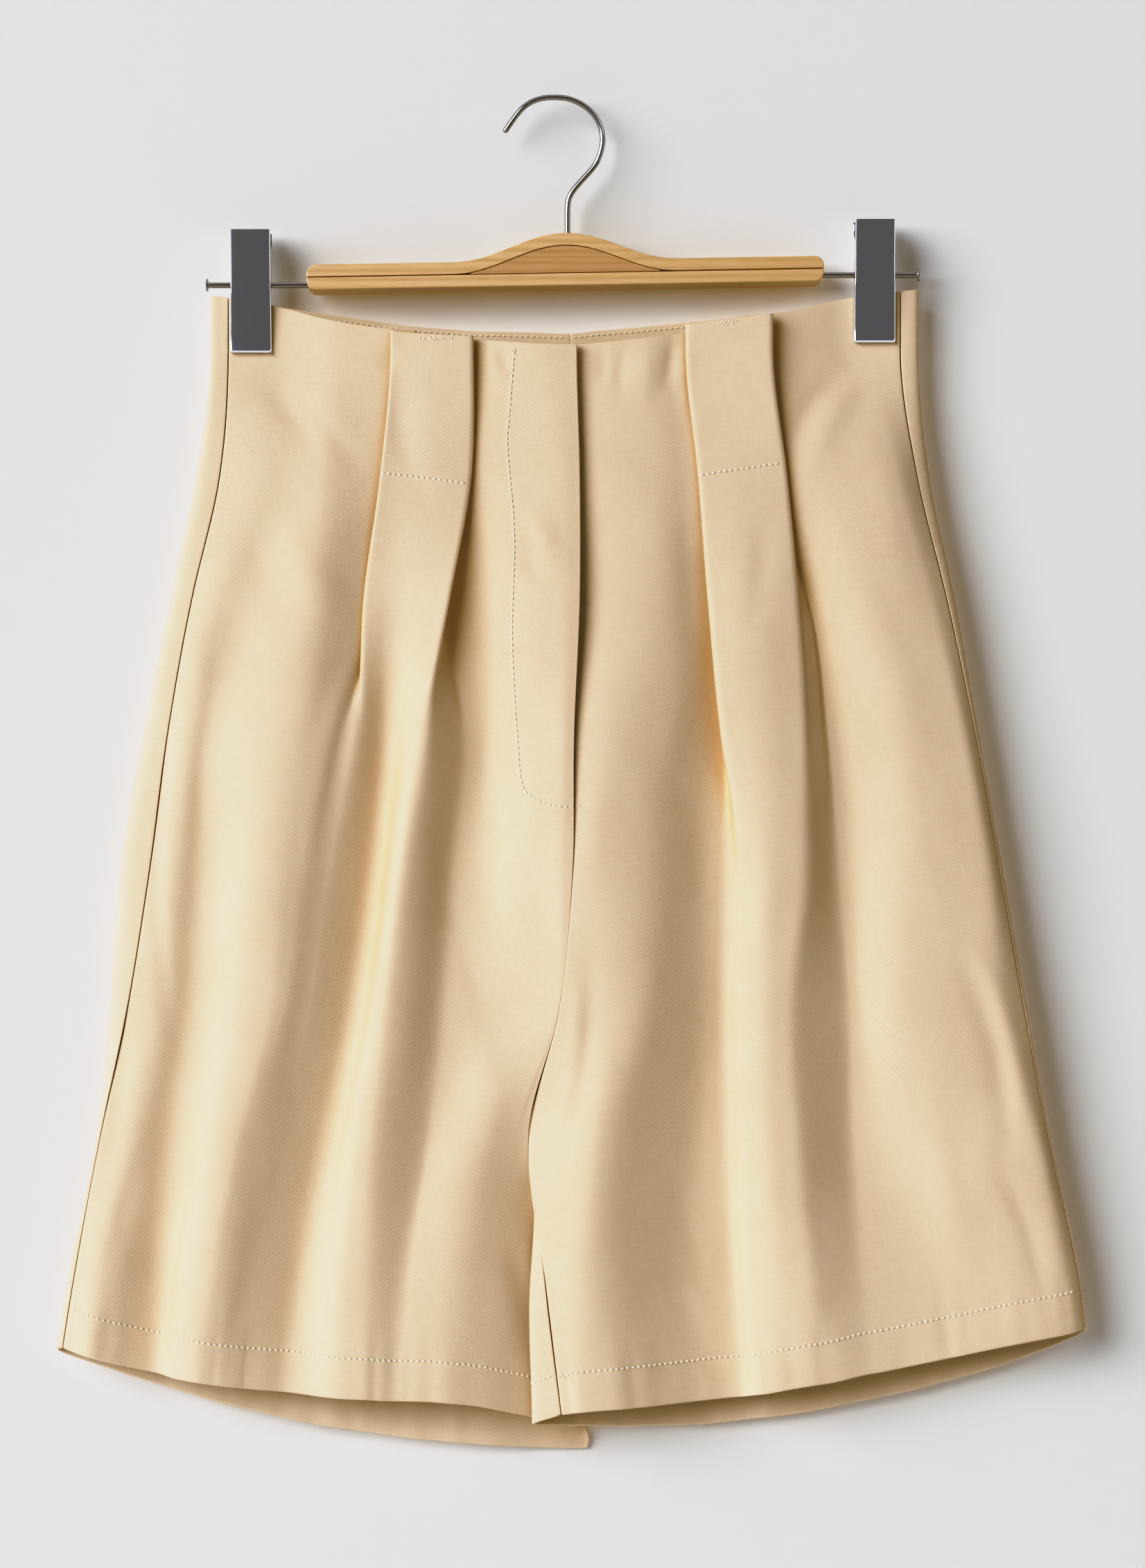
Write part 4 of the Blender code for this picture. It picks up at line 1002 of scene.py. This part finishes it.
def spring_form(side):
    """A coil round the rod with two legs that push the jaws apart above it."""
    middle, height, _ = CLIPS[side]
    start, end = middle - SPRING_HALF, middle + SPRING_HALF
    path = [(start, ROD_LIFT - apart, height + up) for apart, up in LEGS]
    steps = SPRING_TURNS * TURN_STEPS
    for k in range(steps + 1):
        angle = math.pi + 2 * math.pi * k / TURN_STEPS
        y, z = ROD_LIFT + SPRING_RADIUS * math.cos(angle), height + SPRING_RADIUS * math.sin(angle)
        path.append((start + 2 * SPRING_HALF * k / steps, y, z))
    path += [(end, ROD_LIFT + apart, height + up) for apart, up in reversed(LEGS)]
    return tube(path, [SPRING_WIRE] * len(path), 10)


def metal(name, form, node, look=CHROME):
    """A metal piece in place of a solid, from its points and faces."""
    made = make(name, *form, look)
    made.data.set_sharp_from_angle(angle=math.radians(38))
    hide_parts(node)


def build_hanger():
    """The hook, the rods, the clips and the bar's looks."""
    path, radii = domed(spline_route([(x, 0.0, z) for x, z in HOOK_ROUTE]), WIRE)
    metal("hook_wire", tube(path, radii, 20), "hook", WIRE_STEEL)
    for side in CLIPS:
        metal("nail_rod_" + side, rod_form(side), "rod_" + side, WIRE_STEEL)
        metal("front_plate_" + side, jaw_form(FRONT_JAW, side, -1), "clip_front_" + side)
        metal("back_plate_" + side, jaw_form(BACK_JAW, side, 1), "clip_back_" + side)
        metal("coil_spring_" + side, spring_form(side), "spring_" + side)
    for node, look in (("bar_lower", PINE), ("bar_upper", PINE), ("bar_wedge", HUMP_WOOD)):
        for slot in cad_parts[node].material_slots:
            slot.material = look
    build_glue()


def build_glue():
    """The dark line of glue between the bar's strips and round the wedge under the hump."""
    depth = BAR_DEPTH / 2 - GLUE_INSET
    points, faces = [], []
    stations = np.linspace(
        BAR_MIDDLE - BAR_HALF + GLUE_END, BAR_MIDDLE + BAR_HALF - GLUE_END, GLUE_STEPS
    )
    cos, sin = math.cos(BAR_TILT), math.sin(BAR_TILT)
    for reach, rise in ((BAR_HALF, 0), (0.8 * HUMP_HALF, HUMP_RISE)):
        spots = [x for x in stations if abs(x - BAR_MIDDLE) <= reach]
        faces += ring_faces(len(spots), 4, len(points))
        for x in spots:
            hump = rise * math.cos(min(abs(x - BAR_MIDDLE) / HUMP_HALF, 1) * math.pi / 2) ** 2
            seam = BAR_BASE + BAR_SLOPE * (x - BAR_MIDDLE) + STRIP + hump
            bottom, top = seam + GLUE_GAP, seam + GLUE - GLUE_GAP
            for lift, z in ((-depth, bottom), (depth, bottom), (depth, top), (-depth, top)):
                above = z - BAR_BASE - STRIP / 2  # the bar leans back a little
                back, up = lift * cos - above * sin, above * cos + lift * sin
                points.append((x, ROD_LIFT + back, BAR_BASE + STRIP / 2 + up))
    make("glue_lines", points, faces, GLUE_LOOK, smooth=False)


# ---------------------------------------------------------------- garment

BAND = 0.34  # share of the yoke's height that the waist facing covers
FACING_END = 0.38  # the others are shares of the height below the yoke
SHIELD_END = 0.28
POCKET_SPAN = (0.09, 0.57)


def moved(row, gaps):
    """An edge's row moved across by its own amount at every station."""
    across, lift, ends = row
    return tuple(x + gap for x, gap in zip(across, gaps)), lift, ends


def sewn(node, wall, look, slot_name, layer=(), rests=(), **shape):
    """A piece of cloth in place of a solid, which it hides: what it replaces and its finish."""
    made = cloth_mesh(node + "_cloth", wall, look, *layer, **shape)
    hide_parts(node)
    return made


def build_garment():
    """The four panels and what is sewn behind them: the panels' walls and the fronts' pieces."""
    left_folds = {**FRONT_LEFT, "inner": moved(FRONT_LEFT["inner"], SNUG)}
    seat_folds = {"seam": moved(FRONT_RIGHT["seam"], [-SEAM_GAP] * len(STATIONS)), **BACK_RIGHT}
    other_folds = {**BACK_LEFT, "seam": moved(FRONT_LEFT["seam"], [SEAM_GAP] * len(STATIONS))}
    panels = {
        "front_right": Wall(FRONT_RIGHT, OPEN_RIGHT, 1, relief_of(FRONT_CREASES, 3, 1, RUMPLE_DEPTH)),
        "front_left": Wall(left_folds, OPEN_LEFT, 1, relief_of(FRONT_CREASES, 5, 1, RUMPLE_DEPTH)),
        "back_right": Wall(seat_folds, OPEN_RIGHT, -1, relief_of(BACK_CREASES, 11, -1, BACK_RUMPLE_DEPTH)),
        "back_left": Wall(other_folds, OPEN_LEFT, -1, relief_of(BACK_CREASES, 13, -1, BACK_RUMPLE_DEPTH)),
    }
    plates = ("front_plate_right", "front_plate_left")
    made = [
        sewn(node, (wall.points, wall.normals), TWILL, "twill", rests=plates, hem=HEM_TURN)
        for node, wall in panels.items()
    ]
    right, left, seat_right, seat_left = panels.values()
    band, shield = row_at(BAND, 0), row_at(1, SHIELD_END)
    pocket = [row_at(1, share) for share in POCKET_SPAN]
    bag = right.column("ridge"), right.column("thigh")
    centre, brink = right.column("centre", 0.1), right.column("brink", 0.3)
    # The layers behind the panels: rows and columns of the wall, and the layer's inset and thickness.
    for node, wall, rows, columns, *layer in (
        ("facing_right", seat_right, (0, band), (seat_right.column("flank"), seat_right.last), LINING),
        ("facing_left", seat_left, (0, band), (0, seat_left.column("flank")), LINING),
        ("fly_facing", right, (0, row_at(1, FACING_END)), (centre, right.last), LINING),
        ("zip_tape", right, (band, shield), (centre, brink), 2 * LINING, ZIP_TAPE),
        ("fly_shield", right, (0, shield), (centre, brink), 3 * LINING),
        ("pocket_right", right, pocket, bag, POCKET_INSET, POCKET_BAG),
        ("pocket_left", left, pocket, (left.column("hip"), left.column("lip")), POCKET_INSET, POCKET_BAG),
    ):
        look, slot_name = (TAPE, "tape") if node == "zip_tape" else (LINING_LOOK, "twill")
        sewn(node, wall.block(rows, columns), look, slot_name, layer)
    return list(panels.values()), made[:2]


# ---------------------------------------------------------------- stitches

# The topstitched lines on the fronts: across and height.
J_SEAM = (
    (-21, -124), (-23.5, -156), (-24.3, -172), (-21, -214), (-22, -259), (-21, -290), (-19.5, -311.5),
    (-17, -336), (-9.5, -343.5), (1, -346.5), (8.5, -346.3),
)
PLEAT_SEAMS = (
    ((-86, -184), (-63, -186.5), (-43, -189.5)),
    ((69.5, -185), (90, -182), (111, -179)),
)
# Knots and bar tacks: corner across and height, width, height and how many short stitches.
TACKS = (
    (-67, -119, 18, 1.6, 34), (-69, -116, 0.8, 2.5, 6), (78.5, -111.5, 9, 1.6, 20), (-1.5, -625, 9, 2.2, 16),
    (-21.5, -126, 1, 3, 5), (10, -347.5, 2, 1.5, 4),
)


def build_sewing(walls, fronts):
    """The hems' stitches on both sides, the fronts' topstitching and tacks, and the facing's stitches."""
    hem_row = int(np.argmax(DROP > 0)) - 1
    hems = Sewing("hem_stitches")
    for wall in walls:
        places, normals = wall.points[hem_row][1:-1], wall.normals[hem_row][1:-1]
        hems.row(places + normals * (CLOTH / 2), normals, TOPSTITCH)
        hems.row(places - normals * (CLOTH / 2 + PROUD), -normals)
    hems.done()
    trees = []
    for mesh in (piece.data for piece in fronts):
        points = [vertex.co.copy() for vertex in mesh.vertices]
        trees.append(BVHTree.FromPolygons(points, [tuple(face.vertices) for face in mesh.polygons]))
    topstitch = Sewing("front_topstitching")
    for route in (J_SEAM, *PLEAT_SEAMS):
        topstitch.row(*laid_on(trees, smooth_route(route)), TOPSTITCH)
    for x, z, wide, high, count in TACKS:
        for _ in range(count):
            start = (x + dice.uniform(0, wide), z + dice.uniform(0, high))
            aside = dice.uniform(-1.6, 1.6)
            end = (start[0] + aside, start[1] + dice.uniform(0.5, 1.3) * dice.choice((-1, 1)))
            places, normals = laid_on(trees, (start, end))
            if len(places) == 2 and abs(places[0][1] - places[1][1]) < STEP:
                topstitch.stitch(*places, normals[0], TACK_THREAD, TACK_SINK)
    topstitch.done()
    band = Sewing("facing_stitches")
    seat_right, seat_left = walls[2:]
    for wall, first, last in (
        (seat_right, seat_right.column("grip"), seat_right.last - 1),
        (seat_left, 1, seat_left.column("grip")),
    ):
        normals = -wall.normals[1][first:last]
        band.row(wall.points[1][first:last] + normals * (LINING + CLOTH / 2), normals, BAND_THREAD)
    band.done()


# ---------------------------------------------------------------- stage, light and camera

WALL_BACK = 0.0162  # metres behind the hook's plane
FLOOR, TOP, FRONT, SIDE = -1.15, 2.6, -3.6, 3.2
WALL_PAINT = (0.785, 0.785, 0.79)
FLOOR_PAINT = (0.8, 0.8, 0.8)
ROOM_LIGHT = 0.065
# Area lamps: name, place, where it points, width, height, watts and colour.
LAMPS = (
    ("key", (-6.1, -6.1, 2.45), (0.0, 0.0, -0.33), 7.2, 5.2, 820, (1.0, 0.995, 0.985)),
    ("fill", (2.4, -2.6, 1.6), (0.0, 0.0, -0.35), 2.4, 1.6, 14, (1.0, 1.0, 1.0)),
    ("behind", (0.9, 2.4, 0.5), (0.0, 0.0, -0.35), 1.6, 1.6, 42, (1.0, 0.99, 0.97)),
)
# The picture's tone curve: brightness going in and coming out.
TONES = (
    (0, 0), (0.1, 0.03), (0.2, 0.09), (0.3, 0.17), (0.45, 0.335), (0.6, 0.56), (0.72, 0.745), (0.82, 0.82),
    (0.92, 0.855), (1, 0.875),
)
# Its shadows are warmer than its lights: the same for green and for blue alone.
GREENS = ((0.1, 0.084), (0.184, 0.163), (0.3, 0.28), (0.42, 0.412), (0.58, 0.588), (0.73, 0.73))
BLUES = (
    (0.05, 0.018), (0.109, 0.05), (0.16, 0.088), (0.22, 0.145), (0.28, 0.22), (0.35, 0.315), (0.45, 0.445),
)
VIEW_DISTANCE = 2.3
VIEW_SCALE = 0.00034  # metres to a pixel in the hook's plane
PICTURE_HEIGHT = 2263  # pixels
VIEW_CENTRE = (0.0075, -0.3356)
SENSOR = 36.0


def placed(name, data):
    """A new object in the scene."""
    made = bpy.data.objects.new(name, data)
    bpy.context.scene.collection.objects.link(made)
    return made


def stage_plane(name, corners, colour):
    """A plain surface that is seen only from its front, so that it never hides the object."""
    mesh = bpy.data.meshes.new(name)
    mesh.from_pydata(corners, [], [(0, 1, 2, 3)])
    look, tree, _ = blank(name + "_paint", Base_Color=(*colour, 1), Roughness=0.9, Specular_IOR_Level=0.1)
    side = add(tree, "NewGeometry")["Backfacing"]
    clear = add(tree, "BsdfTransparent")["BSDF"]
    paint = tree.nodes["Principled BSDF"].outputs["BSDF"]
    both = add(tree, "MixShader", {0: side, 1: paint, 2: clear})["Shader"]
    set_input(tree, tree.nodes["Material Output"].inputs["Surface"], both)
    mesh.materials.append(look)
    made = placed(name, mesh)
    made.visible_shadow = False


def build_stage():
    """The wall and the floor."""
    wall_foot = [(-SIDE, WALL_BACK, FLOOR), (SIDE, WALL_BACK, FLOOR)]
    stage_plane("wall", wall_foot + [(SIDE, WALL_BACK, TOP), (-SIDE, WALL_BACK, TOP)], WALL_PAINT)
    stage_plane("floor", [(-SIDE, FRONT, FLOOR), (SIDE, FRONT, FLOOR)] + wall_foot[::-1], FLOOR_PAINT)


def build_light():
    """Three lamps, and a room that is dim as light, pale to the camera and darker ahead in the metal."""
    for name, place, target, width, height, watts, colour in LAMPS:
        lamp = bpy.data.lights.new(name, "AREA")
        lamp.shape = "RECTANGLE"
        lamp.size, lamp.size_y = width, height
        lamp.energy, lamp.color = watts, colour
        made = placed(name, lamp)
        made.location = place
        made.rotation_euler = (Vector(target) - Vector(place)).to_track_quat("-Z", "Y").to_euler()
        made.visible_camera = False
    world = bpy.data.worlds.new("studio")
    world.use_nodes = True
    tree = world.node_tree
    room = tree.nodes["Background"]
    room.inputs["Color"].default_value = (1.0, 0.97, 0.93, 1)
    room.inputs["Strength"].default_value = ROOM_LIGHT
    way = add(tree, "SeparateXYZ", {"Vector": add(tree, "TexCoord")["Generated"]})
    aside = add(tree, "Math", {0: way["X"]}, operation="ABSOLUTE")["Value"]
    aside = add(tree, "Math", {0: aside, 1: way["Z"]}, operation="MAXIMUM")["Value"]
    sides = mixed(tree, ranged(tree, aside, 0.0, 1.0, 0.55, 0.8), (0.215, 0.235, 0.29), (0.8, 0.81, 0.82))
    mirrored = add(tree, "Background", {"Color": sides})["Background"]
    seen = add(tree, "Background", {"Color": (0.86, 0.86, 0.87, 1), "Strength": 0.9})["Background"]
    ray = add(tree, "LightPath")
    glossy = {0: ray["Is Glossy Ray"], 1: room.outputs["Background"], 2: mirrored}
    both = {0: ray["Is Camera Ray"], 1: add(tree, "MixShader", glossy)["Shader"], 2: seen}
    set_input(tree, tree.nodes["World Output"].inputs["Surface"], add(tree, "MixShader", both)["Shader"])
    bpy.context.scene.world = world


def develop():
    """Plain colours with a photograph's soft contrast."""
    settings = bpy.context.scene.view_settings
    settings.view_transform = "Standard"
    settings.use_curve_mapping = True
    curves = settings.curve_mapping.curves
    curves[3].points[0].location, curves[3].points[-1].location = TONES[0], TONES[-1]
    for curve, points in ((curves[3], TONES[1:-1]), (curves[1], GREENS), (curves[2], BLUES)):
        for point in points:
            curve.points.new(*point)
    settings.curve_mapping.update()


def build_camera():
    """The camera, straight in front of the hook's plane."""
    camera = bpy.data.cameras.new("camera")
    camera.sensor_width = SENSOR
    camera.lens = SENSOR * VIEW_DISTANCE / (PICTURE_HEIGHT * VIEW_SCALE)
    camera.clip_end = 20
    made = placed("camera", camera)
    made.location = (VIEW_CENTRE[0], -VIEW_DISTANCE, VIEW_CENTRE[1])
    made.rotation_euler = (math.pi / 2, 0, 0)
    bpy.context.scene.camera = made


build_hanger()
build_sewing(*build_garment())
build_stage()
build_light()
develop()
build_camera()
